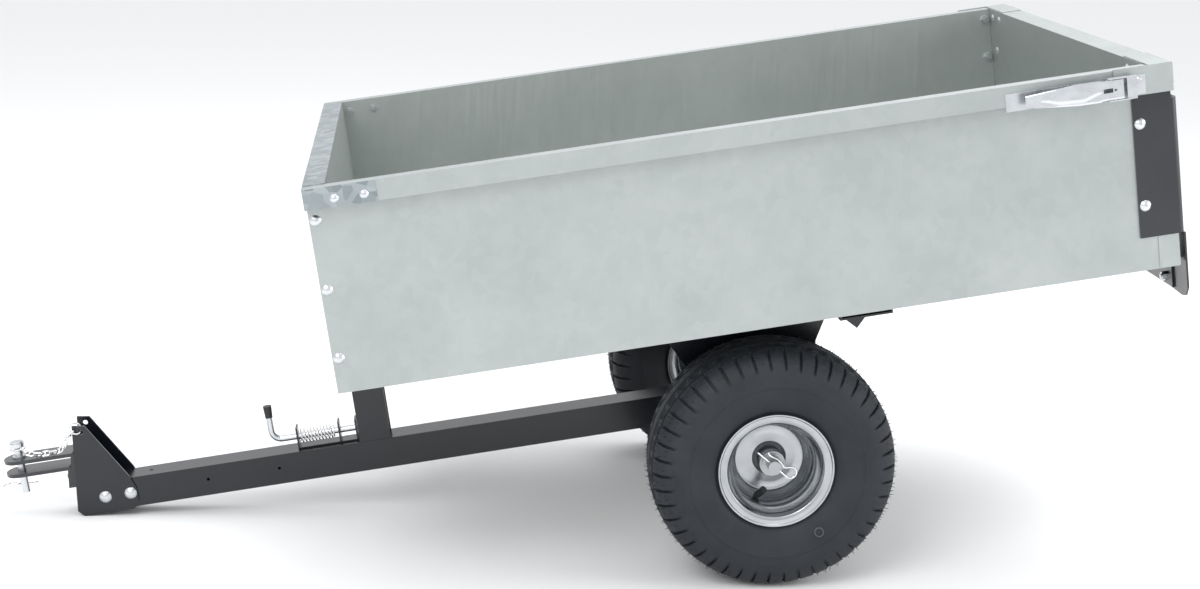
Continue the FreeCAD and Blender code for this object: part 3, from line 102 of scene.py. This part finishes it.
def noise(tree, vector, scale, detail=3, rough=0.55):
    """A noise value over a vector."""
    node = tree.nodes.new("ShaderNodeTexNoise")
    node.inputs["Scale"].default_value = scale
    node.inputs["Detail"].default_value = detail
    node.inputs["Roughness"].default_value = rough
    tree.links.new(vector, node.inputs["Vector"])
    return node.outputs["Fac"]


def ramp(tree, value, stops):
    """A colour ramp of (position, grey or colour) stops."""
    node = tree.nodes.new("ShaderNodeValToRGB")
    elements = node.color_ramp.elements
    while len(elements) < len(stops):
        elements.new(0.5)
    for element, (position, colour) in zip(elements, stops):
        element.position = position
        element.color = (*colour, 1) if isinstance(colour, tuple) else (colour, colour, colour, 1)
    tree.links.new(value, node.inputs["Fac"])
    return node.outputs["Color"]


def bump(tree, shader, height, strength, distance=0.001):
    """Bump a shader by a height."""
    node = tree.nodes.new("ShaderNodeBump")
    node.inputs["Strength"].default_value = strength
    node.inputs["Distance"].default_value = distance
    tree.links.new(height, node.inputs["Height"])
    tree.links.new(node.outputs["Normal"], shader.inputs["Normal"])


def galvanised(name, light, dark, rough, spangle):
    """Zinc-coated sheet: soft cloudy spangle, faint scratches and a satin sheen."""
    mat, tree, shader = material(name)
    vector = coordinates(tree, 1)
    cells = tree.nodes.new("ShaderNodeTexVoronoi")
    cells.inputs["Scale"].default_value = 70
    tree.links.new(vector, cells.inputs["Vector"])
    cloud = noise(tree, vector, 9, 4)
    mix = tree.nodes.new("ShaderNodeMix")
    mix.data_type = "FLOAT"
    mix.inputs[0].default_value = spangle
    tree.links.new(cloud, mix.inputs[2])
    tree.links.new(cells.outputs["Color"], mix.inputs[3])
    tree.links.new(ramp(tree, mix.outputs[0], [(0.3, dark), (0.7, light)]), shader.inputs["Base Color"])
    streaks = noise(tree, coordinates(tree, 1, (40, 40, 2)), 6, 2)
    sheen = ramp(tree, streaks, [(0.35, rough - 0.02), (0.7, rough + 0.03)])
    tree.links.new(sheen, shader.inputs["Roughness"])
    shader.inputs["Metallic"].default_value = 0.82
    bump(tree, shader, cloud, 0.03)
    return mat


def coated(name, colour, rough, grain=0.12, gloss=0.15):
    """Paint or powder coat with a very fine orange peel."""
    mat, tree, shader = material(name)
    vector = coordinates(tree, 1)
    tone = noise(tree, vector, 14, 3)
    light = tuple(channel * 1.25 for channel in colour)
    dark = tuple(channel * 0.85 for channel in colour)
    tree.links.new(ramp(tree, tone, [(0.3, dark), (0.7, light)]), shader.inputs["Base Color"])
    shader.inputs["Roughness"].default_value = rough
    shader.inputs["Specular IOR Level"].default_value = 0.5
    shader.inputs["Coat Weight"].default_value = gloss
    shader.inputs["Coat Roughness"].default_value = 0.18
    bump(tree, shader, noise(tree, vector, 900, 2), grain, 0.0004)
    return mat


def plated(name, colour, rough):
    """Bright zinc or polished steel with faint cloudiness."""
    mat, tree, shader = material(name)
    vector = coordinates(tree, 1)
    tone = noise(tree, vector, 60, 3)
    light = tuple(min(1, channel * 1.08) for channel in colour)
    tree.links.new(ramp(tree, tone, [(0.3, colour), (0.7, light)]), shader.inputs["Base Color"])
    tree.links.new(ramp(tree, tone, [(0.3, rough), (0.75, rough + 0.12)]), shader.inputs["Roughness"])
    shader.inputs["Metallic"].default_value = 1.0
    return mat


def brushed(name, colour, rough):
    """Steel spun about the wheel's axle, with a sheen that fans out from the middle."""
    mat, tree, shader = material(name)
    tone = noise(tree, coordinates(tree, 1), 30, 3)
    dark = tuple(channel * 0.85 for channel in colour)
    tree.links.new(ramp(tree, tone, [(0.3, dark), (0.7, colour)]), shader.inputs["Base Color"])
    around = tree.nodes.new("ShaderNodeTangent")
    around.direction_type = "RADIAL"
    around.axis = "Y"
    tree.links.new(around.outputs["Tangent"], shader.inputs["Tangent"])
    shader.inputs["Anisotropic"].default_value = 0.85
    shader.inputs["Roughness"].default_value = rough
    shader.inputs["Metallic"].default_value = 1.0
    return mat


def rubber(name, colour):
    """Dull black rubber with a dusty bloom."""
    mat, tree, shader = material(name)
    vector = coordinates(tree, 1)
    tone = noise(tree, vector, 25, 5)
    light = tuple(channel * 1.5 for channel in colour)
    tree.links.new(ramp(tree, tone, [(0.35, colour), (0.75, light)]), shader.inputs["Base Color"])
    shader.inputs["Roughness"].default_value = 0.62
    shader.inputs["Specular IOR Level"].default_value = 0.35
    bump(tree, shader, noise(tree, vector, 500, 3), 0.15, 0.0005)
    return mat


OUTER_STEEL = galvanised("galvanised_outer", (0.43, 0.46, 0.455), (0.375, 0.405, 0.4), 0.44, 0.2)
# The inner copy below is the same zinc sheet as the outer one, in a lighter, greener tone: painted light and
# painted reflection for the inside of the bed, not a different coating.
INNER_STEEL_PAINTED_LIGHT = galvanised("galvanised_inner_painted_light", (0.46, 0.492, 0.48), (0.415, 0.447, 0.434), 0.4, 0.12)
STRAP_STEEL = galvanised("galvanised_strap", (0.38, 0.42, 0.43), (0.23, 0.265, 0.28), 0.36, 0.6)
BLACK = coated("black_powder_coat", (0.004, 0.0055, 0.0085), 0.26)
BLACK_SATIN = coated("black_powder_coat_satin", (0.01, 0.012, 0.0155), 0.33, 0.12, 0.4)
ZINC = plated("bright_zinc", (0.6, 0.62, 0.64), 0.24)
DULL_ZINC = plated("dull_zinc", (0.36, 0.37, 0.38), 0.3)
WIRE = plated("polished_wire", (0.78, 0.78, 0.78), 0.14)
RIM_PAINT = brushed("rim_silver", (0.45, 0.465, 0.48), 0.23)
TYRE = rubber("tyre_rubber", (0.013, 0.0155, 0.0195))
TYRE_MARK = rubber("tyre_mark", (0.09, 0.095, 0.1))
PLASTIC = coated("black_plastic", (0.015, 0.015, 0.017), 0.4, 0.05, 0)

NODE_MATERIALS = {
    OUTER_STEEL: ["side_panel_left", "side_panel_right", "rear_post_left", "rear_post_right", "front_panel",
                  "tailgate_panel", "tailgate_tab_left", "tailgate_tab_right"],
    # The bed floor takes the inner copy of the steel, a tone painted for the light inside the bed.
    INNER_STEEL_PAINTED_LIGHT: ["bed_floor"],
    STRAP_STEEL: ["front_top_rail"],
    BLACK: ["axle_bracket_left", "axle_bracket_right", "rear_rail", "cross_brace", "bed_post", "tongue",
            "latch_bracket", "hitch_bracket"],
    BLACK_SATIN: ["rear_bracket_left", "rear_bracket_right", "clevis_strap_upper", "clevis_strap_lower",
                  "clevis_bolts"],
    RIM_PAINT: ["rim_left", "rim_right"],
    TYRE: ["tyre_left", "tyre_right"],
    PLASTIC: ["latch_knob", "bushes_left", "bushes_right", "valve_left", "valve_right"],
    DULL_ZINC: ["axle", "axle_washers"],
    WIRE: ["wheel_clips", "hitch_clip", "latch_spring", "chain_links", "chain_ring"],
}
PAINT = {name: mat for mat, names in NODE_MATERIALS.items() for name in names}


def paint(obj, mat):
    """Give a piece one material."""
    obj.data.materials.clear()
    obj.data.materials.append(mat)


for node_name, node_object in NODES.items():
    paint(node_object, PAINT.get(node_name, ZINC))


# ---- mesh helpers --------------------------------------------------------------------------

def mesh_object(name, bm, mat, smooth=None):
    """An object from a bmesh drawn in the level frame."""
    bmesh.ops.recalc_face_normals(bm, faces=bm.faces)
    mesh = bpy.data.meshes.new(name)
    bm.to_mesh(mesh)
    bm.free()
    mesh.transform(LEVEL)
    obj = bpy.data.objects.new(name, mesh)
    bpy.context.scene.collection.objects.link(obj)
    paint(obj, mat)
    if smooth is not None:
        mesh.shade_smooth()
        mesh.set_sharp_from_angle(angle=math.radians(smooth))
    return obj


def settle(obj):
    """Make a piece's modifiers part of its mesh."""
    graph = bpy.context.evaluated_depsgraph_get()
    mesh = bpy.data.meshes.new_from_object(obj.evaluated_get(graph))
    obj.modifiers.clear()
    obj.data = mesh
    return obj


def softened(node, width, smooth=35, segments=2):
    """A copy of a CAD piece with its edges rounded, shown in its place."""
    source = NODES[node]
    bm = bmesh.new()
    bm.from_mesh(source.data)
    bmesh.ops.remove_doubles(bm, verts=bm.verts, dist=1e-6)
    bmesh.ops.dissolve_limit(bm, angle_limit=math.radians(1), verts=bm.verts, edges=bm.edges)
    for face in bm.faces:
        face.smooth = True
    mesh = bpy.data.meshes.new(node + "_soft")
    bm.to_mesh(mesh)
    bm.free()
    obj = bpy.data.objects.new(node + "_soft", mesh)
    bpy.context.scene.collection.objects.link(obj)
    paint(obj, PAINT.get(node, ZINC))
    mesh.set_sharp_from_angle(angle=math.radians(smooth))
    bevel = obj.modifiers.new("edges", "BEVEL")
    bevel.width = width * 0.001
    bevel.segments = segments
    bevel.limit_method = "ANGLE"
    bevel.angle_limit = math.radians(smooth)
    bevel.harden_normals = True
    settle(obj)
    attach(obj, source["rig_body"])
    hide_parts(node)
    return obj


def curve_through(points, steps):
    """A smooth line through (out, radius) points."""
    line = []
    for index in range(len(points) - 1):
        before = Vector(points[max(index - 1, 0)])
        start, end = Vector(points[index]), Vector(points[index + 1])
        after = Vector(points[min(index + 2, len(points) - 1)])
        for step in range(steps):
            t = step / steps
            slope = (end - before) * t
            bend = (2 * before - 5 * start + 4 * end - after) * t ** 2
            twist = (3 * start - before - 3 * end + after) * t ** 3
            line.append(0.5 * ((2 * start) + slope + bend + twist))
    line.append(Vector(points[-1]))
    return line


def lathe(bm, line, centre, side, segments=96, closed=True):
    """Turn a line of (outward, radius) about the axle, from a middle station on one side."""
    rings = []
    for segment in range(segments):
        angle = 2 * math.pi * segment / segments
        rings.append([bm.verts.new((radius * math.cos(angle), side * (centre + out),
                                    radius * math.sin(angle)))
                      for out, radius in line])
    count = len(line)
    for index, ring in enumerate(rings):
        following = rings[(index + 1) % segments]
        for step in range(count if closed else count - 1):
            ahead = (step + 1) % count
            bm.faces.new((ring[step], ring[ahead], following[ahead], following[step]))
    return rings


# ---- wheels --------------------------------------------------------------------------------

WHEEL_MID = abs(sum(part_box("tyre_left")[index].y for index in (0, 1))) / 2 * 1000
TYRE_R = AXLE.z * 1000
TYRE_HALF = (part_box("tyre_left")[1].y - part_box("tyre_left")[0].y) / 2 * 1000
LUGS = 46
LUG_STEPS = (0.0, 0.05, 0.15, 0.2, 0.5, 0.75)
GROOVES = (13.0, 37.0)
HAIR_ROWS = ((-58, 178), (-30, 186), (0, 187), (28, 186), (47, 183), (57, 178.5), (66, 171))
HAIRS = 110
HAIR_R = 0.85
MARK_SPOT = (52, -103)
MARK_OUT = 71.4
MARK_R = 6.5
SIDE_WALL = [(55.5, 76.6), (56.0, 84.0), (56.5, 90.5), (61.0, 95.0), (66.5, 103.0), (71.5, 116.0),
             (75.0, 132.0), (75.7, 133.2), (75.2, 134.4),
             (75.6, 146.0), (73.0, 158.0), (68.0, 168.0), (62.0, 175.5), (54.0, 181.0), (44.0, 184.5),
             (30.0, 186.6), (15.0, 187.6), (0.0, 188.0)]


def tread_depth(out, radius, phase):
    """How far the tread is sunk below its crown at a station and a part of a lug's pitch."""
    depth = 0.0
    across = abs(out)
    if across < 60 and radius > 170:
        for groove in GROOVES:
            if abs(across - groove) < 2.6:
                depth = 5.0
    slit = 0.05 <= phase <= 0.15
    if radius > 156 and across > 40 and slit:
        depth = max(depth, 5.0 * min(1, (radius - 155) / 16))
    if across < 38 and radius > 170 and 0.5 <= phase <= 0.75 and abs(across - 25) < 9:
        depth = max(depth, 4.0)
    return depth


def tyre_line():
    """The tyre's outer section from bead to bead, with extra points at the grooves' edges."""
    half = curve_through(SIDE_WALL, 3)
    cuts = [groove + edge for groove in GROOVES for edge in (-2.9, -2.55, 2.55, 2.9)]
    for cut in cuts:
        for low, high in zip(half, half[1:]):
            if low.y > 170 and high.x <= cut <= low.x:
                share = (low.x - cut) / max(low.x - high.x, 1e-6)
                half.insert(half.index(high), low.lerp(high, share))
                break
    return half + [Vector((-point.x, point.y)) for point in reversed(half[:-1])]


def tyre(name, side):
    """A turf tyre: smooth walls, slit shoulders, blocks across the crown and moulding whiskers."""
    bm = bmesh.new()
    line = tyre_line()
    inner = [(-44, 77), (-48, 92), (-64, 130), (-58, 165), (0, 180), (58, 165), (64, 130), (48, 92), (44, 77)]
    rings = []
    for lug in range(LUGS):
        for place in LUG_STEPS:
            ring = []
            for index, point in enumerate(line):
                slant = 0.06 * (point.y - 156) / 30 if point.y > 156 else 0
                angle = 2 * math.pi * (lug + place + slant * (1 if point.x > 0 else -1)) / LUGS
                ahead = line[min(index + 1, len(line) - 1)]
                back = line[max(index - 1, 0)]
                normal = Vector((-(ahead - back).y, (ahead - back).x)).normalized()
                if normal.dot(Vector((point.x, point.y - 120))) < 0:
                    normal.negate()
                spot = point - normal * tread_depth(point.x, point.y, place)
                ring.append(bm.verts.new((spot.y * math.cos(angle), side * (WHEEL_MID + spot.x),
                                          spot.y * math.sin(angle))))
            angle = 2 * math.pi * (lug + place) / LUGS
            for out, radius in inner:
                ring.append(bm.verts.new((radius * math.cos(angle), side * (WHEEL_MID + out),
                                          radius * math.sin(angle))))
            rings.append(ring)
    count = len(rings[0])
    for index, ring in enumerate(rings):
        following = rings[(index + 1) % len(rings)]
        for step in range(count):
            ahead = (step + 1) % count
            bm.faces.new((ring[step], ring[ahead], following[ahead], following[step]))
    obj = mesh_object("tyre_tread_" + name, bm, TYRE, 32)
    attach(obj, "wheel_" + name)
    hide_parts("tyre_" + name)
    whiskers(name, side)
    wall_mark(name, side)


def whiskers(name, side):
    """Thin rubber hairs left by the mould's vents, round the shoulders and crown."""
    bm = bmesh.new()
    for out, radius in HAIR_ROWS:
        for hair in range(HAIRS):
            angle = 2 * math.pi * (hair + random.uniform(-0.3, 0.3)) / HAIRS
            if math.sin(angle + PARK_ANGLE) < -0.93:
                continue
            length = random.uniform(3.5, 8.0)
            lean = random.uniform(-0.5, 0.5)
            foot = Vector((radius * math.cos(angle), side * (WHEEL_MID + out + random.uniform(-2, 2)),
                           radius * math.sin(angle)))
            way = Vector((math.cos(angle + lean), side * out / 140, math.sin(angle + lean))).normalized()
            across = way.cross(Vector((0, 1, 0))).normalized() * HAIR_R
            up = way.cross(across).normalized() * HAIR_R
            base = [bm.verts.new(foot + across * math.cos(turn) + up * math.sin(turn))
                    for turn in (0, 2.09, 4.19)]
            tip = bm.verts.new(foot + way * length)
            for step in range(3):
                bm.faces.new((base[step], base[(step + 1) % 3], tip))
            bm.faces.new(base[::-1])
    obj = mesh_object("tyre_whiskers_" + name, bm, TYRE)
    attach(obj, "wheel_" + name)


def wall_mark(name, side):
    """A small plain ring moulded on the side wall."""
    bm = bmesh.new()
    reach = math.hypot(*MARK_SPOT)
    angle = math.atan2(MARK_SPOT[1], MARK_SPOT[0])
    radial = Vector((math.cos(angle), 0, math.sin(angle)))
    along = Vector((-math.sin(angle), 0, math.cos(angle)))
    sloped = (radial * 13 + Vector((0, side * 5, 0))).normalized()
    centre = radial * reach + Vector((0, side * (WHEEL_MID + MARK_OUT), 0))
    normal = sloped.cross(along)
    rows = []
    for step in range(28):
        turn = 2 * math.pi * step / 28
        spoke = sloped * math.cos(turn) + along * math.sin(turn)
        row = []
        for roll in (0, 1.05, 2.09, 3.14, 4.19, 5.24):
            reach = MARK_R + 0.8 * math.cos(roll)
            row.append(bm.verts.new(centre + spoke * reach + normal * 0.8 * math.sin(roll)))
        rows.append(row)
    for step, row in enumerate(rows):
        ahead = rows[(step + 1) % len(rows)]
        for place in range(6):
            bm.faces.new((row[place], row[(place + 1) % 6], ahead[(place + 1) % 6], ahead[place]))
    obj = mesh_object("tyre_mark_" + name, bm, TYRE_MARK, 60)
    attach(obj, "wheel_" + name)


def rim(name, side):
    """A pressed rim: rolled double flange, stepped barrel, dished disc and hub tube."""
    bm = bmesh.new()
    half = [(60.8, 86.2), (61.0, 88.2), (60.0, 89.0), (58.4, 88.4), (57.2, 86.6), (56.6, 84.0), (56.0, 77.6),
            (55.0, 76.3), (41.0, 76.0), (38.5, 75.0), (33.0, 68.5), (30.0, 66.3), (26.0, 66.0)]
    back = [(27.0, 63.6), (31.0, 64.0), (34.8, 66.6), (40.0, 72.6), (43.0, 73.6), (54.0, 73.8), (56.6, 74.4),
            (58.0, 76.4), (58.6, 80.0), (59.0, 84.6)]
    section = half + [(-out, radius) for out, radius in reversed(half)]
    section += [(-out, radius) for out, radius in reversed(back)] + back
    lathe(bm, section, WHEEL_MID, side)
    disc = [(27.0, 64.6), (14.0, 64.3), (6.0, 63.0), (1.0, 59.5), (-3.0, 55.0), (-5.2, 53.2), (-7.6, 52.6),
            (-8.4, 51.4), (-8.4, 49.6), (-9.0, 48.0), (-8.0, 38.0), (-6.8, 28.0), (-6.5, 26.4),
            (-8.0, 24.8), (-11.0, 23.6),
            (-13.5, 20.5), (-13.5, 18.0), (-16.0, 18.0), (-16.0, 22.0), (-13.0, 26.0), (-12.8, 50.0),
            (-11.5, 54.0), (-6.0, 57.5), (-1.5, 62.0), (4.0, 65.3), (27.0, 66.0)]
    lathe(bm, disc, WHEEL_MID, side)
    hub = [(19.0, 13.2), (19.0, 19.3), (18.2, 20.0), (-90.4, 20.0), (-90.4, 13.2)]
    lathe(bm, hub, WHEEL_MID, side, 48)
    obj = mesh_object("rim_pressed_" + name, bm, RIM_PAINT, 40)
    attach(obj, "wheel_" + name)
    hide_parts("rim_" + name)


for side_name, side_sign in SIDES:
    tyre(side_name, side_sign)
    rim(side_name, side_sign)

# ---- inner faces of the bed's sheets -------------------------------------------------------

def give_inside_painted_light(node, inward, apart=0):
    """Give a sheet's faces that look into the bed, at least so far from its middle, the lighter inner copy of
    the steel: painted light for the inside of the bed.
    """
    mesh = NODES[node].data
    mesh.materials.append(INNER_STEEL_PAINTED_LIGHT)
    to_level = LEVEL.inverted()
    for face in mesh.polygons:
        normal = (to_level.to_3x3() @ face.normal).normalized()
        place = to_level @ face.center
        if normal.dot(inward) > 0.9 and place.dot(inward) <= -apart:
            face.material_index = 1


# The faces that look into the bed take the inner copy of the steel, painted light for the inside of the bed.
WALL_STATION = 396
for side_name, side_sign in SIDES:
    give_inside_painted_light("side_panel_" + side_name, Vector((0, -side_sign, 0)), WALL_STATION)
give_inside_painted_light("front_panel", Vector((1, 0, 0)))
give_inside_painted_light("tailgate_panel", Vector((-1, 0, 0)))


# ---- latch levers --------------------------------------------------------------------------

COVER_FRONT, COVER_REAR, COVER_MID = 404.0, 547.0, 514.0
COVER_OUTER, COVER_INNER = 441.4, 440.4
PANEL_MID, PANEL_HALF = 470, 46
SLOT = (517, 531)
PIN_HOLE = (534, 538)
PIN_X, PIN_OUT, PIN_R = 530, 436, 2


def lever_cover(name, side):
    """The lever's pressed cover: tapered, with rolled edges, a pointed raised panel and a slot."""
    mid_z, front, rear = COVER_MID, COVER_FRONT, COVER_REAR
    bm = bmesh.new()
    columns, rows = 72, 18

    def half_height(x):
        return 9 + 6.5 * min(1, (x - front) / 76) if x < 514 else 14

    def rise(x, share):
        panel = max(0.0, 1 - abs(x - PANEL_MID) / PANEL_HALF)
        edge = abs(share) - 0.62 * min(1, panel * 1.7)
        raised = 1.5 * min(1, max(0, -edge * 9)) if panel > 0 else 0
        rolled = -1.2 if abs(share) > 0.93 else 0
        return raised + rolled

    def solid(column, row):
        if not (0 <= column < columns and 0 <= row < rows):
            return True
        x = front + (rear - front) * (column + 0.5) / columns
        slot = SLOT[0] < x < SLOT[1] and rows // 2 - 2 <= row <= rows // 2 + 1
        return not slot and not (PIN_HOLE[0] < x < PIN_HOLE[1] and rows // 2 - 1 <= row <= rows // 2)

    layers = []
    for base in (COVER_OUTER, COVER_INNER):
        grid = []
        for column in range(columns + 1):
            x = front + (rear - front) * column / columns
            line = []
            for row in range(rows + 1):
                share = row / rows * 2 - 1
                out = base + rise(x, share)
                line.append(bm.verts.new((x, side * out, mid_z + share * half_height(x))))
            grid.append(line)
        layers.append(grid)
    outer, inner = layers
    for column in range(columns):
        for row in range(rows):
            around = [(column, row), (column + 1, row), (column + 1, row + 1), (column, row + 1)]
            if solid(column, row):
                bm.faces.new([outer[a][b] for a, b in around])
                bm.faces.new([inner[a][b] for a, b in around])
                continue
            beside = [(column, row - 1), (column + 1, row), (column, row + 1), (column - 1, row)]
            for step, (a, b) in enumerate(around):
                c, d = around[(step + 1) % 4]
                if solid(*beside[step]):
                    bm.faces.new((outer[a][b], outer[c][d], inner[c][d], inner[a][b]))
    loop = [(0, row) for row in range(rows)] + [(column, rows) for column in range(columns)]
    loop += [(columns, row) for row in range(rows, 0, -1)]
    loop += [(column, 0) for column in range(columns, 0, -1)]
    for (a, b), (c, d) in zip(loop, loop[1:] + loop[:1]):
        bm.faces.new((outer[a][b], outer[c][d], inner[c][d], inner[a][b]))
    for z_sign in (-1, 1):
        corners = [(522, 441), (524, 431.6), (547, 431.6), (547, 441)]
        near = [bm.verts.new((x, side * y, mid_z + z_sign * 12)) for x, y in corners]
        far = [bm.verts.new((x, side * y, mid_z + z_sign * 14)) for x, y in corners]
        for step in range(4):
            ahead = (step + 1) % 4
            bm.faces.new((near[step], near[ahead], far[ahead], far[step]))
        bm.faces.new(near)
        bm.faces.new(far[::-1])
        rings = []
        for z in (12, 17.4):
            rings.append([bm.verts.new((PIN_X + PIN_R * math.cos(turn * math.pi / 6),
                                        side * (PIN_OUT + PIN_R * math.sin(turn * math.pi / 6)),
                                        mid_z + z_sign * z))
                          for turn in range(12)])
        for step in range(12):
            ahead = (step + 1) % 12
            bm.faces.new((rings[0][step], rings[0][ahead], rings[1][ahead], rings[1][step]))
        bm.faces.new(rings[1])
        bm.faces.new(rings[0][::-1])
    obj = mesh_object("latch_cover_" + name, bm, ZINC, 40)
    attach(obj, "lever_" + name)
    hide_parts("latch_lever_" + name)


for side_name, side_sign in SIDES:
    lever_cover(side_name, side_sign)

# ---- edges of the steel pieces -------------------------------------------------------------

for node_name, edge in (("rear_bracket_left", 0.7), ("rear_bracket_right", 0.7), ("bed_post", 0.8),
                        ("hitch_bracket", 1.2), ("clevis_strap_upper", 1.2), ("clevis_strap_lower", 1.2),
                        ("latch_bracket", 0.6), ("axle_bracket_left", 0.8), ("axle_bracket_right", 0.8),
                        ("cross_brace", 0.8), ("rear_rail", 0.8), ("tongue", 0.9),
                        ("tailgate_tab_left", 0.5), ("tailgate_tab_right", 0.5),
                        ("latch_keeper_left", 0.3), ("latch_keeper_right", 0.3),
                        ("latch_base_left", 0.3), ("latch_base_right", 0.3)):
    softened(node_name, edge)


# ---- floor, light and camera ---------------------------------------------------------------

def floor():
    """A plain pale floor."""
    bm = bmesh.new()
    reach = 12
    corners = [bm.verts.new((x * reach, y * reach, 0)) for x, y in ((-1, -1), (1, -1), (1, 1), (-1, 1))]
    bm.faces.new(corners)
    mesh = bpy.data.meshes.new("studio_floor")
    bm.to_mesh(mesh)
    bm.free()
    obj = bpy.data.objects.new("studio_floor", mesh)
    bpy.context.scene.collection.objects.link(obj)
    mat, _, shader = material("pale_floor")
    shader.inputs["Base Color"].default_value = (0.86, 0.86, 0.86, 1)
    shader.inputs["Roughness"].default_value = 0.8
    paint(obj, mat)


def area_light(name, place, aim, size, power):
    """A soft square lamp aimed at a point."""
    lamp = bpy.data.lights.new(name, "AREA")
    lamp.shape = "SQUARE"
    lamp.size = size
    lamp.energy = power
    obj = bpy.data.objects.new(name, lamp)
    obj.location = place
    obj.rotation_euler = (Vector(aim) - Vector(place)).to_track_quat("-Z", "Y").to_euler()
    bpy.context.scene.collection.objects.link(obj)


def spring():
    """A copy of the latch's spring, between the front ear and the rod's collar, baked in its place."""
    source = NODES["latch_spring"]
    obj = bpy.data.objects.new("latch_spring_coils", source.data.copy())
    obj.matrix_world = source.matrix_world
    bpy.context.scene.collection.objects.link(obj)
    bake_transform(obj)
    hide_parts("latch_spring")


spring()
floor()
world = bpy.data.worlds.new("studio")
world.use_nodes = True
world.node_tree.nodes["Background"].inputs["Color"].default_value = (0.97, 0.98, 1.0, 1)
world.node_tree.nodes["Background"].inputs["Strength"].default_value = 1.0
bpy.context.scene.world = world
area_light("key", (-2.4, -3.4, 3.6), (0, 0, 0.4), 2.5, 120)
area_light("top", (0.4, 0.6, 3.4), (0, 0, 0.3), 3.0, 90)
area_light("rear", (3.2, -1.2, 1.6), (0.2, 0, 0.4), 2.0, 45)

camera = bpy.data.cameras.new("camera")
camera.lens = 61.25
camera.sensor_width = 36
camera_object = bpy.data.objects.new("camera", camera)
camera_object.location = (-0.5596, -3.2494, 1.1539)
camera_object.rotation_euler = Euler([math.radians(turn) for turn in (76.509, -1.631, -5.262)], "XYZ")
bpy.context.scene.collection.objects.link(camera_object)
bpy.context.scene.camera = camera_object
bpy.context.scene.view_settings.view_transform = "Standard"
